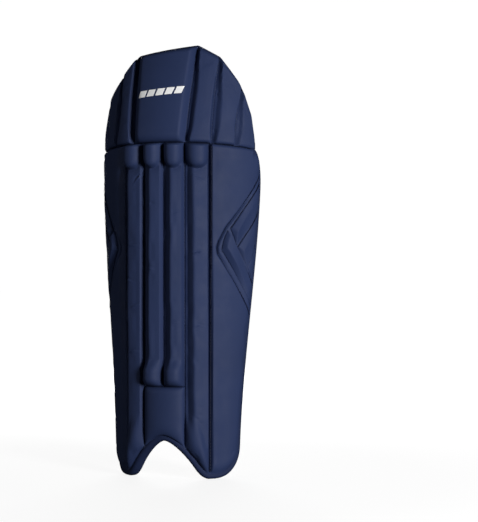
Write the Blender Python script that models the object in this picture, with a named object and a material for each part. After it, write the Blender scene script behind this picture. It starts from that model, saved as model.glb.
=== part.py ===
"""Cricket leg pad: a moulded leg guard, built from its shells, foams, canes, linings, bindings and straps.

The origin is the middle of the base, on the surface that the pad stands on. +Z is up, and the face
points to -Y, so the leg is on the +Y side. Metres throughout.

The pad is a sheet rolled about the shin. Every piece of it is laid out on one surface, the front of the
stiff board: a place on it is an angle round the leg, a height, and a distance in front of the board.
"""

import math

import bmesh
import bpy
from mathutils import Vector

# Driving dimensions
HEIGHT = 0.660
BOARD_RADIUS_ANKLE = 0.095
BOARD_RADIUS_KNEE = 0.125
RADIUS_FULL_HEIGHT = 0.500
EDGE_ANGLE = 1.24
BOARD_FRONT_Y = -0.0399
TOP_LEAN = 0.034
KNEE_SEAM_HEIGHT = 0.514
KNEE_SEAM_DIP = 0.020
BINDING_WIDTH = 0.003
GAP = 0.0003

# The base: an arch over the boot between two flat-bottomed lobes. Lanes are explained below
ARCH_HEIGHT = 0.058
LOBE_START_LANE = 0.879
LOBE_END_LANE = 1.32
BASE_CORNER_HEIGHT = 0.043

# The face: seams are measured round the board, heights of the face in front of it
INNER_SEAM = 0.030
OUTER_SEAM = 0.065
BOLSTER_FOOT = 0.140
INSTEP_FOAM_HEAD = 0.1385
BOLSTER_FOAM_FOOT = 0.1415
SEAM_FACE = 0.006
BOLSTER_FACE = 0.018
CUP_FACE = 0.0225
CUP_LENGTH = 0.032
CUP_FADE = 0.013
END_ROLL = 0.012
SEAM_ROLL = 0.008
INSTEP_FACE = 0.0155
WING_FACE = 0.012
EDGE_FACE = 0.007
COVER_THICKNESS = 0.0012
FOAM_UNDER_COVER = 0.0030
BOARD_THICKNESS = 0.0025
BED = 0.0006

# Wing shoulder
SHOULDER_ANGLE = 1.10
SHOULDER_FALL_TO = 0.440

# The knee flap
KNEE_SEAM_ANGLES = (0.28, 0.55, 0.83)
KNEE_EDGE_ANGLE = 1.085
KNEE_TOP = ((0.28, 0.6567), (0.55, 0.643), (0.83, 0.604), (0.93, 0.583), (1.01, 0.554), (1.085, 0.508))
KNEE_FACES = (0.019, 0.0155, 0.0135, 0.011)
HINGE_GAP = 0.001
BINDING_BACK = -0.0085

# The leg side
LINING_BED = -(BOARD_THICKNESS + BED)
LINING_CENTRE_LANE = 0.446
LINING_SIDE_LANE = 1.66
LINING_GAP_LANE = 0.02
LINING_FOOT = 0.1385
MESH_HEAD = 0.1375
LINING_SIDE_DEPTH = 0.018
LINING_CENTRE_DEPTH = 0.013
LINING_EDGE_DEPTH = 0.008
MESH_DEPTH = 0.007
KNEE_LINING_DEPTH = 0.011
KNEE_LINING_SEAM_DEPTH = 0.004
KNEE_LINING_INSET = 0.010

# Canes
CANE_RADIUS = 0.003
CANE_SLOT_HALF = 0.0037
CANE_SLOT_DEPTH = 0.0075
CANE_END_MARGIN = 0.012
CANE_STEPS = 9
CANE_SIDES = 8

# Ribs on the wings, as (angle, height): the lower and upper corner at the front end, then at the side edge
RIBS = (
    ((0.665, 0.350), (0.755, 0.375), (1.225, 0.253), (1.225, 0.281)),
    ((0.885, 0.353), (0.790, 0.378), (1.225, 0.415), (1.225, 0.455)),
    ((1.045, 0.323), (0.900, 0.350), (1.225, 0.370), (1.225, 0.411)),
    ((1.205, 0.293), (1.062, 0.320), (1.225, 0.300), (1.225, 0.366)),
)
RIB_THICKNESS = 0.004
RIB_GAP = 0.0008

# Straps
STRAPS = (("upper", 0.387), ("lower", 0.185))
STRAP_WIDTH = 0.058
STRAP_THICKNESS = 0.002
STRAP_BOW = 0.007
PATCH_THICKNESS = 0.0009
PATCH_INSET = 0.004
LAP_LENGTH = 0.052
RING_FROM_TIP = 0.036
RING_HALF_WIDTH = 0.011
RING_HALF_HEIGHT = 0.0332
RING_WIRE = 0.0022
RING_CORNER = 0.005
RING_BOW = 0.0015
RING_SIDES = 8
RING_BEHIND_TIP = 0.002
EYE_RADIUS = 0.004
EYE_TAIL = 0.0135
EYE_TAIL_GAP = GAP * 1.5
SEWN_TO_FRONT = 0.003
STRAP_END_MARGIN = 0.004


def smooth(t):
    """0 to 1 with level ends."""
    t = min(max(t, 0.0), 1.0)
    return t * t * (3.0 - 2.0 * t)


def mix(a, b, t):
    return a + (b - a) * t


def span(first, last, count):
    """Evenly spaced values from first to last, in that many steps."""
    return [mix(first, last, k / count) for k in range(count + 1)]


# ---- The surface that the pad is laid out on ----


def board_radius(z):
    return mix(BOARD_RADIUS_ANKLE, BOARD_RADIUS_KNEE, smooth(z / RADIUS_FULL_HEIGHT))


def lean(z):
    """How far the pad stands back at this height: the knee flap curves towards the thigh."""
    above = max(0.0, (z - KNEE_SEAM_HEIGHT) / (HEIGHT - KNEE_SEAM_HEIGHT))
    return TOP_LEAN * above**1.5


def place(angle, z, front):
    """The point at this angle round the leg, this height, and this far in front of the board."""
    radius = board_radius(z)
    reach = radius + front
    y = BOARD_FRONT_Y + lean(z) + radius - reach * math.cos(angle)
    return Vector((reach * math.sin(angle), y, z))


def knee_seam(angle):
    return KNEE_SEAM_HEIGHT - KNEE_SEAM_DIP * (angle / EDGE_ANGLE) ** 2


def shoulder(angle):
    """Height of the shin part's upper edge: the knee seam, then a round fall to the side edge."""
    if angle <= SHOULDER_ANGLE:
        return knee_seam(angle)
    along = min((angle - SHOULDER_ANGLE) / (EDGE_ANGLE - SHOULDER_ANGLE), 1.0)
    return SHOULDER_FALL_TO + (knee_seam(SHOULDER_ANGLE) - SHOULDER_FALL_TO) * math.sqrt(1.0 - along**2)


def knee_top(angle):
    """Height of the flap's upper edge: level over the middle panel, then straight from seam to seam."""
    angle = abs(angle)
    if angle <= KNEE_TOP[0][0]:
        return KNEE_TOP[0][1]
    for (a0, z0), (a1, z1) in zip(KNEE_TOP, KNEE_TOP[1:]):
        if angle <= a1:
            return mix(z0, z1, (angle - a0) / (a1 - a0))
    return KNEE_TOP[-1][1]


# ---- Lanes and rows: the net that the shin pieces share, so that they lie on one another ----
# Lane 0 is the middle, lane 1 the outer seam and lane 2 the side edge, with minus for the right leg side.
# Rows 0 to 1 are below LOW_ROW, rows 1 to 2 run level up to HIGH_ROW, and rows 2 to 3 are above it.

INNER_LANE = INNER_SEAM / OUTER_SEAM
LOW_ROW = 0.128
HIGH_ROW = 0.430
BOLSTER_STEPS = (-0.93, -0.55, 0.0, 0.55, 0.93)
WING_LANES = (1.03, 1.14, LOBE_END_LANE, 1.49, LINING_SIDE_LANE, 1.8, 1.94, 1.985, 2.0)


def lane_angle(lane, z):
    side = math.copysign(1.0, lane)
    seam = OUTER_SEAM / board_radius(z)
    if abs(lane) <= 1.0:
        return lane * seam
    return side * mix(seam, EDGE_ANGLE, abs(lane) - 1.0)


def lane_of(angle, z):
    """The lane that passes through this angle at this height."""
    seam = OUTER_SEAM / board_radius(z)
    if abs(angle) <= seam:
        return angle / seam
    return math.copysign(1.0 + (abs(angle) - seam) / (EDGE_ANGLE - seam), angle)


def lane_foot(lane):
    """Height of the pad's lower edge."""
    lane = abs(lane)
    if lane < LOBE_START_LANE:
        rise = ARCH_HEIGHT * (1.0 - (lane / LOBE_START_LANE) ** 1.6)
    elif lane < LOBE_END_LANE:
        rise = 0.0
    else:
        along = min((lane - LOBE_END_LANE) / (2.0 - LOBE_END_LANE), 1.0)
        rise = BASE_CORNER_HEIGHT * (1.0 - math.sqrt(1.0 - along**2))
    return BINDING_WIDTH + GAP + rise


def lane_head(lane):
    return shoulder(abs(lane_angle(lane, KNEE_SEAM_HEIGHT))) - HINGE_GAP


def row_height(lane, row):
    if row < 1.0:
        return mix(lane_foot(lane), LOW_ROW, row)
    if row <= 2.0:
        return mix(LOW_ROW, HIGH_ROW, row - 1.0)
    return mix(HIGH_ROW, lane_head(lane), row - 2.0)


def level_row(z):
    """The row that runs level at this height."""
    return 1.0 + (z - LOW_ROW) / (HIGH_ROW - LOW_ROW)


def bolster_lanes(low, high):
    """Lanes from seam to seam of one bolster, without the seams."""
    return [(low + high) / 2.0 + step * (high - low) / 2.0 for step in BOLSTER_STEPS]


def both_sides(lanes):
    """The list mirrored about 0, which it starts with."""
    return [-lane for lane in reversed(lanes[1:])] + list(lanes)


HALF_LANES = [0.0, *bolster_lanes(0.0, INNER_LANE), INNER_LANE]
HALF_LANES += [*bolster_lanes(INNER_LANE, 1.0), 1.0, *WING_LANES]
LANES = both_sides(HALF_LANES)
LEVELS = (INSTEP_FOAM_HEAD, BOLSTER_FOOT, BOLSTER_FOAM_FOOT, 0.150, 0.175, 0.24, 0.32)
ROWS = [0.0, 0.02, 0.08, 0.5, 1.0, *(level_row(z) for z in LEVELS), 2.0, 2.55, 2.83, 2.97, 3.0]


def between(values, first, last, margin=0.004):
    """The values from first to last, with those two as its ends."""
    return [first] + [v for v in values if first + margin < v < last - margin] + [last]


# ---- The face: how far it stands in front of the board ----


def pillow(t, roundness=3.0):
    """1 in the middle of a padded panel and 0 at its two seams, for t from -1 to 1."""
    return 1.0 - abs(min(max(t, -1.0), 1.0)) ** roundness


def edge_round(distance, reach):
    """0 on a seam, rising to 1 at that reach from it."""
    t = min(max(distance / reach, 0.0), 1.0)
    return math.sqrt(1.0 - (1.0 - t) ** 2)


def cup(from_end):
    """1 in the fuller cup at a bolster's end, 0 along the rest of it."""
    return 1.0 - smooth((from_end - CUP_LENGTH) / CUP_FADE)


def shin_face(lane, z):
    across = abs(lane_angle(lane, z)) * board_radius(z)
    to_head, to_foot = lane_head(lane) - z, z - lane_foot(lane)
    if abs(lane) > 1.0:
        inward = edge_round(across - OUTER_SEAM, SEAM_ROLL)
        outward = edge_round(EDGE_ANGLE * board_radius(z) - across, END_ROLL)
        top = edge_round(to_head, END_ROLL)
        return mix(SEAM_FACE, mix(EDGE_FACE, WING_FACE, outward), inward * mix(0.3, 1.0, top))
    if across > INNER_SEAM:
        crest = mix(BOLSTER_FACE, CUP_FACE, cup(to_head))
        across_it = pillow((2.0 * across - INNER_SEAM - OUTER_SEAM) / (OUTER_SEAM - INNER_SEAM))
    elif z > BOLSTER_FOOT:
        to_foot = z - BOLSTER_FOOT
        crest = mix(BOLSTER_FACE, CUP_FACE, max(cup(to_head), cup(to_foot)))
        across_it = pillow(2.0 * across / INNER_SEAM - 1.0)
    else:
        to_head = BOLSTER_FOOT - z
        crest = INSTEP_FACE
        across_it = pillow(across / INNER_SEAM, 6.0)
    ends = edge_round(to_head, END_ROLL) * edge_round(to_foot, END_ROLL)
    return SEAM_FACE + (crest - SEAM_FACE) * across_it * ends


def knee_panel_of(angle):
    """Which panel of the knee flap this angle is on, counting from the middle, and its two seams."""
    seams = (-KNEE_SEAM_ANGLES[0], *KNEE_SEAM_ANGLES, KNEE_EDGE_ANGLE)
    for k in range(4):
        if abs(angle) <= seams[k + 1]:
            return k, seams[k], seams[k + 1]
    return 3, seams[3], seams[4]


def knee_face(angle, z):
    panel, low, high = knee_panel_of(angle)
    at = angle if panel == 0 else abs(angle)
    across = pillow((2.0 * at - low - high) / (high - low), 4.0)
    ends = edge_round(z - knee_seam(angle), END_ROLL) * edge_round(knee_top(angle) - z, END_ROLL)
    return SEAM_FACE + (KNEE_FACES[panel] - SEAM_FACE) * across * ends


# ---- Mesh builders ----


def material(name, colour, roughness):
    made = bpy.data.materials.new(name)
    made.use_nodes = True
    shader = made.node_tree.nodes["Principled BSDF"]
    shader.inputs["Base Color"].default_value = (*colour, 1.0)
    shader.inputs["Roughness"].default_value = roughness
    return made


def solid(name, points, faces, finish):
    """One closed mesh object, its faces pointing out."""
    mesh = bpy.data.meshes.new(name)
    mesh.from_pydata(points, [], faces)
    work = bmesh.new()
    work.from_mesh(mesh)
    bmesh.ops.recalc_face_normals(work, faces=work.faces)
    work.to_mesh(mesh)
    work.free()
    made = bpy.data.objects.new(name, mesh)
    made.data.materials.append(finish)
    bpy.context.scene.collection.objects.link(made)
    return made


def slab(name, columns, rows, outer, inner, finish):
    """A sheet with thickness. outer and inner give the point of each side at a column and a row."""
    wide, tall = len(columns), len(rows)
    points = [side(c, r) for side in (outer, inner) for c in columns for r in rows]
    back = wide * tall

    def at(i, j, side=0):
        return side * back + i * tall + j

    faces = []
    for i in range(wide - 1):
        for j in range(tall - 1):
            faces.append((at(i, j), at(i + 1, j), at(i + 1, j + 1), at(i, j + 1)))
            faces.append((at(i, j, 1), at(i, j + 1, 1), at(i + 1, j + 1, 1), at(i + 1, j, 1)))
    for i in range(wide - 1):
        for j in (0, tall - 1):
            faces.append((at(i, j), at(i, j, 1), at(i + 1, j, 1), at(i + 1, j)))
    for j in range(tall - 1):
        for i in (0, wide - 1):
            faces.append((at(i, j), at(i, j + 1), at(i, j + 1, 1), at(i, j, 1)))
    return solid(name, points, faces, finish)


def shin_slab(name, lanes, rows, outer, inner, finish):
    """A piece of the shin part. outer and inner give its two depths at a lane and a height."""

    def side(depth):
        def point(lane, row):
            z = row_height(lane, row)
            return place(lane_angle(lane, z), z, depth(lane, z))

        return point

    return slab(name, lanes, rows, side(outer), side(inner), finish)


def knee_height(angle, row):
    """Row 0 is the flap's lower edge, at the knee seam, and row 1 its upper edge."""
    return mix(knee_seam(angle) + HINGE_GAP, knee_top(angle), row)


def knee_slab(name, angles, rows, outer, inner, finish):
    """A piece of the knee flap."""

    def side(depth):
        def point(angle, row):
            z = knee_height(angle, row)
            return place(angle, z, depth(angle, z))

        return point

    return slab(name, angles, rows, side(outer), side(inner), finish)


def strip(name, path, thickness, low, high, finish):
    """A flat band standing on its edge. path(z) gives its middle line at that height, seen from above."""
    points = []
    for z in (low, high):
        line = [Vector(p) for p in path(z)]
        for k, here in enumerate(line):
            before = line[max(k - 1, 0)]
            after = line[min(k + 1, len(line) - 1)]
            into = (here - before).normalized() if k else (after - here).normalized()
            out = (after - here).normalized() if k < len(line) - 1 else into
            along = (into + out).normalized()
            stretch = 1.0 / max(along.dot(into), 0.5)
            side = Vector((-along.y, along.x)) * (thickness / 2.0 * stretch)
            for p in (here + side, here - side):
                points.append(Vector((p.x, p.y, z)))
    count = len(points) // 2
    faces = []
    for k in range(0, count - 2, 2):
        faces.append((k, k + 1, k + 3, k + 2))
        faces.append((count + k, count + k + 2, count + k + 3, count + k + 1))
        for side in (0, 1):
            a = k + side
            faces.append((a, a + 2, count + a + 2, count + a))
    for a in (0, count - 2):
        faces.append((a, a + 1, count + a + 1, count + a))
    return solid(name, points, faces, finish)


def rim(name, outline, depths, width, finish):
    """A binding round an open outline of (angle, height), standing on its outer side."""
    flat = [Vector((a * board_radius(z), z)) for a, z in outline]
    points = []
    for k, here in enumerate(flat):
        along = (flat[min(k + 1, len(flat) - 1)] - flat[max(k - 1, 0)]).normalized()
        out = Vector((-along.y, along.x))
        for reach in (GAP, width + GAP):
            p = here + out * reach
            for depth in depths:
                points.append(place(p.x / board_radius(p.y), p.y, depth))
    faces = []
    for k in range(len(flat) - 1):
        a, b = 4 * k, 4 * k + 4
        for i, j in ((0, 1), (1, 3), (3, 2), (2, 0)):
            faces.append((a + i, a + j, b + j, b + i))
    faces.append((0, 1, 3, 2))
    last = 4 * (len(flat) - 1)
    faces.append((last, last + 1, last + 3, last + 2))
    return solid(name, points, faces, finish)


def rod(name, line, radius, sides, finish):
    """A round rod along a line of points that runs upwards."""
    points = []
    for p in line:
        for k in range(sides):
            turn = 2.0 * math.pi * k / sides
            points.append(p + Vector((radius * math.cos(turn), radius * math.sin(turn), 0.0)))
    faces = []
    for i in range(len(line) - 1):
        for k in range(sides):
            a, b = i * sides + k, i * sides + (k + 1) % sides
            faces.append((a, b, b + sides, a + sides))
    faces.append(tuple(range(sides)))
    faces.append(tuple(range((len(line) - 1) * sides, len(line) * sides)))
    return solid(name, points, faces, finish)


# ---- The shin part ----


def under_cover(lane, z):
    return shin_face(lane, z) - FOAM_UNDER_COVER


def bed(_across, _z):
    return BED


def build_board(finish):
    rows = [0.02, 0.5, 1.0, *(level_row(z) for z in (0.175, 0.24, 0.32)), 2.0, 2.55, 2.97]
    shin_slab("shin_board", LANES[2:-2], rows, lambda *_: 0.0, lambda *_: -BOARD_THICKNESS, finish)


def build_bolster(name, low, high, foot_row, foam, cane):
    """A foam bolster with a slot down its back, and the cane that lies in the slot."""
    middle = (low + high) / 2.0
    slot = CANE_SLOT_HALF / OUTER_SEAM
    lanes = sorted([*bolster_lanes(low, high), *(middle + k * slot for k in (-1.6, -1.0, 1.0, 1.6))])

    def back(lane, _z):
        return CANE_SLOT_DEPTH if abs(lane - middle) <= slot + 1e-6 else BED

    shin_slab(f"bolster_{name}", lanes, between(ROWS, foot_row, ROWS[-2]), under_cover, back, foam)
    seat = (CANE_SLOT_DEPTH + BED) / 2.0
    low_end, high_end = row_height(middle, foot_row) + CANE_END_MARGIN, lane_head(middle) - CANE_END_MARGIN
    line = [place(lane_angle(middle, z), z, seat) for z in span(low_end, high_end, CANE_STEPS)]
    rod(f"cane_{name}", line, CANE_RADIUS, CANE_SIDES, cane)


def build_wing(side, name, foam, cover):
    lanes = [side * lane for lane in WING_LANES[:-2]]
    shin_slab(f"wing_foam_{name}", lanes, ROWS[1:-1], under_cover, bed, foam)
    for k, corners in enumerate(RIBS):
        build_rib(f"wing_rib_{name}_{k + 1}", side, corners, cover)


def build_rib(name, side, corners, finish):
    """A raised strip from its front end, at s 0, to the side edge, at s 1, with bevelled edges."""
    (a0, z0), (a1, z1), (b0, y0), (b1, y1) = corners

    def spot(s, t, above):
        angle = mix(mix(a0, a1, t), mix(b0, b1, t), s)
        z = mix(mix(z0, z1, t), mix(y0, y1, t), s)
        return place(side * angle, z, shin_face(lane_of(angle, z), z) + above)

    def top(s, t):
        flat = 0.02 < s < 0.98 and 0.02 < t < 0.98
        return spot(s, t, RIB_GAP + RIB_THICKNESS * (1.0 if flat else 0.3))

    along, across = [0.0, 0.1, 0.35, 0.65, 0.9, 1.0], [0.0, 0.2, 0.8, 1.0]
    slab(name, along, across, top, lambda s, t: spot(s, t, RIB_GAP), finish)


def build_face(cover, foam):
    def cover_inside(lane, z):
        return shin_face(lane, z) - COVER_THICKNESS

    shin_slab("shin_cover", LANES, ROWS, shin_face, cover_inside, cover)
    edge = bolster_lanes(0.0, INNER_LANE)[-1]
    rows = between(ROWS, ROWS[1], level_row(INSTEP_FOAM_HEAD))
    shin_slab("instep_foam", between(LANES, -edge, edge), rows, under_cover, bed, foam)


def build_lining(finish, mesh):
    """The leg side: three long bolsters, the thin strips beside them, and the mesh over the boot."""

    def pad(name, low, high, rows, depth, roundness, thin, paint):
        def inner(lane, z):
            across = pillow((2.0 * lane - low - high) / (high - low), roundness)
            ends = edge_round(z - row_height(lane, rows[0]) + END_ROLL / 4.0, END_ROLL)
            ends *= edge_round(row_height(lane, rows[-1]) - z + END_ROLL / 4.0, END_ROLL)
            return LINING_BED - depth * mix(thin, 1.0, across * ends)

        shin_slab(name, between(LANES, low, high), rows, lambda *_: LINING_BED, inner, paint)

    centre, side_lane, gap = LINING_CENTRE_LANE, LINING_SIDE_LANE, LINING_GAP_LANE
    upper = [level_row(z) for z in (LINING_FOOT, 0.150, 0.175, 0.24, 0.32)] + [2.0, 2.55, 2.83, 2.985]
    lower = [0.01, 0.08, 0.5, 1.0, level_row(MESH_HEAD)]
    pad("lining_bolster_centre", -centre, centre, upper, LINING_CENTRE_DEPTH, 6.0, 0.35, finish)
    pad("instep_mesh_centre", -centre, centre, lower, MESH_DEPTH, 6.0, 0.6, mesh)
    for name, side in (("left", 1.0), ("right", -1.0)):
        inner_edges = sorted((side * (centre + gap), side * side_lane))
        outer_edges = sorted((side * (side_lane + gap), side * WING_LANES[-2]))
        pad(f"lining_bolster_{name}", *inner_edges, upper, LINING_SIDE_DEPTH, 3.0, 0.35, finish)
        pad(f"lining_edge_{name}", *outer_edges, upper, LINING_EDGE_DEPTH, 4.0, 0.7, finish)
        all_of_it = sorted((side * (centre + gap), side * WING_LANES[-2]))
        pad(f"instep_mesh_{name}", *all_of_it, lower, MESH_DEPTH, 6.0, 0.6, mesh)


def build_edge_binding(finish):
    """One strip of binding, from one shoulder down the side, round the base and up to the other shoulder."""
    top = [(lane, 3.0) for lane in WING_LANES if 1.7 < lane < 2.0]
    side = [(2.0, row) for row in reversed(ROWS)]
    half = top + side
    base = [(lane, 0.0) for lane in reversed(LANES[1:-1])]
    spots = half + base + [(-lane, row) for lane, row in reversed(half)]
    outline = []
    for lane, row in spots:
        z = row_height(lane, row)
        outline.append((lane_angle(lane, z), z))
    rim("edge_binding", outline, (BINDING_BACK, EDGE_FACE), BINDING_WIDTH, finish)


# ---- The knee flap ----


def knee_panel_angles(low, high):
    """Angles across one panel of the flap, without its first seam."""
    return [mix(low, high, t) for t in (0.07, 0.5, 0.93, 1.0)]


KNEE_SEAMS = (*KNEE_SEAM_ANGLES, KNEE_EDGE_ANGLE)
KNEE_HALF = [0.0, 0.15, 0.26, KNEE_SEAMS[0]]
for first_seam, next_seam in zip(KNEE_SEAMS, KNEE_SEAMS[1:]):
    KNEE_HALF += knee_panel_angles(first_seam, next_seam)
KNEE_ANGLES = both_sides(KNEE_HALF)
KNEE_ROWS = [0.0, 0.02, 0.1, 0.5, 0.94, 0.985, 1.0]


def under_knee_cover(angle, z):
    return knee_face(angle, z) - FOAM_UNDER_COVER


def knee_cover_inside(angle, z):
    return knee_face(angle, z) - COVER_THICKNESS


def knee_lining_inside(angle, z):
    _panel, low, high = knee_panel_of(angle)
    at = angle if low < 0.0 else abs(angle)
    across = pillow((2.0 * at - low - high) / (high - low), 4.0)
    ends = edge_round(z - knee_seam(angle), END_ROLL) * edge_round(knee_top(angle) - z, END_ROLL)
    return LINING_BED - mix(KNEE_LINING_SEAM_DEPTH, KNEE_LINING_DEPTH, across * ends)


def build_knee(cover, foam, board, lining, binding):
    inside = KNEE_ROWS[1:-1]
    knee_slab("knee_board", KNEE_ANGLES[1:-1], inside, lambda *_: 0.0, lambda *_: -BOARD_THICKNESS, board)
    edge = KNEE_HALF[2]
    knee_slab("knee_foam_centre", between(KNEE_ANGLES, -edge, edge), inside, under_knee_cover, bed, foam)
    for name, low, high in zip(("inner", "middle", "outer"), KNEE_SEAMS, KNEE_SEAMS[1:]):
        angles = knee_panel_angles(low, high)[:-1]
        for hand, side in (("left", 1.0), ("right", -1.0)):
            across = [side * angle for angle in angles]
            knee_slab(f"knee_foam_{name}_{hand}", across, inside, under_knee_cover, bed, foam)
    knee_slab("knee_cover", KNEE_ANGLES, KNEE_ROWS, knee_face, knee_cover_inside, cover)
    edge = KNEE_EDGE_ANGLE - KNEE_LINING_INSET
    angles = [-edge, *KNEE_ANGLES[1:-1], edge]
    rows = [0.01, *inside[1:-1], 0.97]
    knee_slab("knee_lining", angles, rows, lambda *_: LINING_BED, knee_lining_inside, lining)
    heights = [knee_height(KNEE_EDGE_ANGLE, row) for row in KNEE_ROWS]
    outline = [(-KNEE_EDGE_ANGLE, z) for z in heights]
    outline += [(angle, knee_top(angle)) for angle in KNEE_ANGLES[1:-1]]
    outline += [(KNEE_EDGE_ANGLE, z) for z in reversed(heights)]
    rim("knee_binding", outline, (BINDING_BACK, EDGE_FACE), BINDING_WIDTH, binding)


# ---- The straps ----


def eye(bar_x, bar_y, way):
    """The sewn loop round a ring's bar, from the end of its tail to where the strap leaves it."""
    lay = (STRAP_THICKNESS + EYE_TAIL_GAP) / 2.0
    tail = [(EYE_TAIL, lay), (2.0 * EYE_RADIUS, 1.6 * lay)]
    turns = span(math.radians(60.0), math.radians(300.0), 8)
    loop = [(EYE_RADIUS * math.cos(turn), EYE_RADIUS * math.sin(turn)) for turn in turns]
    line = tail + loop + [(x, -y) for x, y in reversed(tail)]
    return [(bar_x + way * x, bar_y + y) for x, y in line]


def wing_tip(side, z, front):
    """Just outside the edge binding at the side of the pad, at this distance in front of the board."""
    beyond = (BINDING_WIDTH + 2.0 * GAP) / board_radius(z)
    p = place(side * (EDGE_ANGLE + beyond), z, front)
    return p.x, p.y + STRAP_THICKNESS / 2.0 + 2.0 * GAP


def strap_places(height):
    """Where this strap's ring stands: the x of its two bars, and their y."""
    tip_x, tip_y = wing_tip(-1.0, height + STRAP_WIDTH / 2.0, BINDING_BACK)
    outer = tip_x + RING_FROM_TIP - RING_HALF_WIDTH
    return outer, outer + 2.0 * RING_HALF_WIDTH, tip_y + RING_BEHIND_TIP


def build_strap(name, height, webbing, plastic, hook, loop):
    """The strap and its ring, the anchor that holds the ring, and the stub that the strap sticks to."""
    low, high = height - STRAP_WIDTH / 2.0, height + STRAP_WIDTH / 2.0
    outer_bar, inner_bar, bar_y = strap_places(height)
    start = inner_bar + EYE_TAIL
    start_y = bar_y - (STRAP_THICKNESS + EYE_TAIL_GAP) / 2.0
    stack = STRAP_THICKNESS + 2.0 * PATCH_THICKNESS + 3.0 * GAP
    stub_x, stub_y = wing_tip(1.0, high, BINDING_BACK)
    end = stub_x - STRAP_END_MARGIN
    lap = end - LAP_LENGTH

    def beside(first, last, offset, steps):
        """A line along the strap: a shallow bow round the calf, which ends on top of the stub."""
        line = []
        for x in span(first, last, steps):
            t = (x - start) / (end - start)
            line.append((x, mix(start_y, stub_y + stack, t) + STRAP_BOW * 4.0 * t * (1.0 - t) + offset))
        return line

    def sewn(line, side):
        """The line, with its end taken round the pad's side edge."""
        return lambda z: line + [wing_tip(side, z, front) for front in (BINDING_BACK, SEWN_TO_FRONT)]

    anchor = sewn(eye(outer_bar, bar_y, -1.0), -1.0)
    strip(f"strap_anchor_{name}", anchor, STRAP_THICKNESS, low, high, webbing)
    band = eye(inner_bar, bar_y, 1.0) + beside(start, end, 0.0, 14)[1:]
    strip(f"strap_{name}", lambda _: band, STRAP_THICKNESS, low, high, webbing)
    under = -(STRAP_THICKNESS + PATCH_THICKNESS) / 2.0 - GAP
    for piece, offset, finish in (("hook", under, hook), ("loop", under - PATCH_THICKNESS - GAP, loop)):
        patch = beside(lap, end - PATCH_INSET, offset, 4)
        ends = (low + PATCH_INSET, high - PATCH_INSET)
        strip(f"{piece}_patch_{name}", lambda _: patch, PATCH_THICKNESS, *ends, finish)
    stub = beside(lap - PATCH_INSET, end - PATCH_INSET, -stack, 4)
    strip(f"strap_stub_{name}", sewn(stub, 1.0), STRAP_THICKNESS, low, high, webbing)
    build_ring(name, (outer_bar + inner_bar) / 2.0, bar_y, height, plastic)


def ring_outline():
    """The middle line of a ring, about its own centre: two upright bars joined by bowed ends."""
    corner = []
    for turn in span(0.0, math.pi / 2.0, 3):
        x = RING_HALF_WIDTH - RING_CORNER * (1.0 - math.cos(turn))
        z = RING_HALF_HEIGHT - RING_CORNER * (1.0 - math.sin(turn))
        corner.append(Vector((x, z)))
    crown = [Vector((0.0, RING_HALF_HEIGHT + RING_BOW))]
    top = corner + crown + [Vector((-p.x, p.y)) for p in reversed(corner)]
    return top + [-p for p in top]


def build_ring(name, x, y, z, finish):
    """A plastic loop of round section."""
    line = ring_outline()
    count, sides = len(line), RING_SIDES
    points, faces = [], []
    for k, here in enumerate(line):
        along = (line[(k + 1) % count] - line[k - 1]).normalized()
        out = Vector((along.y, -along.x))
        for j in range(sides):
            turn = 2.0 * math.pi * (j + 0.5) / sides
            p = here + out * (RING_WIRE * math.cos(turn))
            points.append(Vector((x + p.x, y + RING_WIRE * math.sin(turn), z + p.y)))
    for k in range(count):
        for j in range(sides):
            a, b, following = k * sides, ((k + 1) % count) * sides, (j + 1) % sides
            faces.append((a + j, a + following, b + following, b + j))
    solid(f"ring_{name}", points, faces, finish)


def pivot(name, at, pieces):
    """An empty on a hinge's axis, which carries the pieces that turn there."""
    empty = bpy.data.objects.new(name, None)
    empty.location = at
    bpy.context.scene.collection.objects.link(empty)
    for piece in pieces:
        held = bpy.data.objects[piece]
        held.parent = empty
        held.location = -Vector(at)


def main():
    for old in list(bpy.data.objects):
        bpy.data.objects.remove(old)
    navy = material("navy_cover", (0.022, 0.032, 0.085), 0.45)
    trim = material("navy_binding", (0.012, 0.018, 0.050), 0.5)
    white = material("white_lining", (0.80, 0.78, 0.74), 0.6)
    mesh = material("white_mesh", (0.74, 0.72, 0.68), 0.8)
    foam = material("foam", (0.85, 0.84, 0.80), 0.9)
    board = material("board", (0.20, 0.20, 0.21), 0.5)
    cane = material("cane", (0.62, 0.45, 0.24), 0.6)
    webbing = material("webbing", (0.82, 0.81, 0.78), 0.85)
    plastic = material("ring_plastic", (0.86, 0.85, 0.82), 0.35)
    hook = material("hook", (0.82, 0.81, 0.79), 0.9)
    loop = material("loop", (0.80, 0.79, 0.77), 1.0)

    build_board(board)
    for name, low, high, foot_row in (
        ("outer_right", -1.0, -INNER_LANE, ROWS[1]),
        ("inner_right", -INNER_LANE, 0.0, level_row(BOLSTER_FOAM_FOOT)),
        ("inner_left", 0.0, INNER_LANE, level_row(BOLSTER_FOAM_FOOT)),
        ("outer_left", INNER_LANE, 1.0, ROWS[1]),
    ):
        build_bolster(name, low, high, foot_row, foam, cane)
    build_wing(1.0, "left", foam, navy)
    build_wing(-1.0, "right", foam, navy)
    build_face(navy, foam)
    build_lining(white, mesh)
    build_edge_binding(trim)
    build_knee(navy, foam, board, white, white)
    knee_pieces = [piece.name for piece in bpy.data.objects if piece.name.startswith("knee_")]
    pivot("pivot_knee", (0.0, BOARD_FRONT_Y - SEAM_FACE, KNEE_SEAM_HEIGHT), knee_pieces)
    for name, height in STRAPS:
        build_strap(name, height, webbing, plastic, hook, loop)
        outer_bar, inner_bar, bar_y = strap_places(height)
        pivot(f"pivot_ring_{name}", (outer_bar, bar_y, height), [f"ring_{name}"])
        pivot(f"pivot_strap_{name}", (inner_bar, bar_y, height), [f"strap_{name}", f"hook_patch_{name}"])


main()
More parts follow.
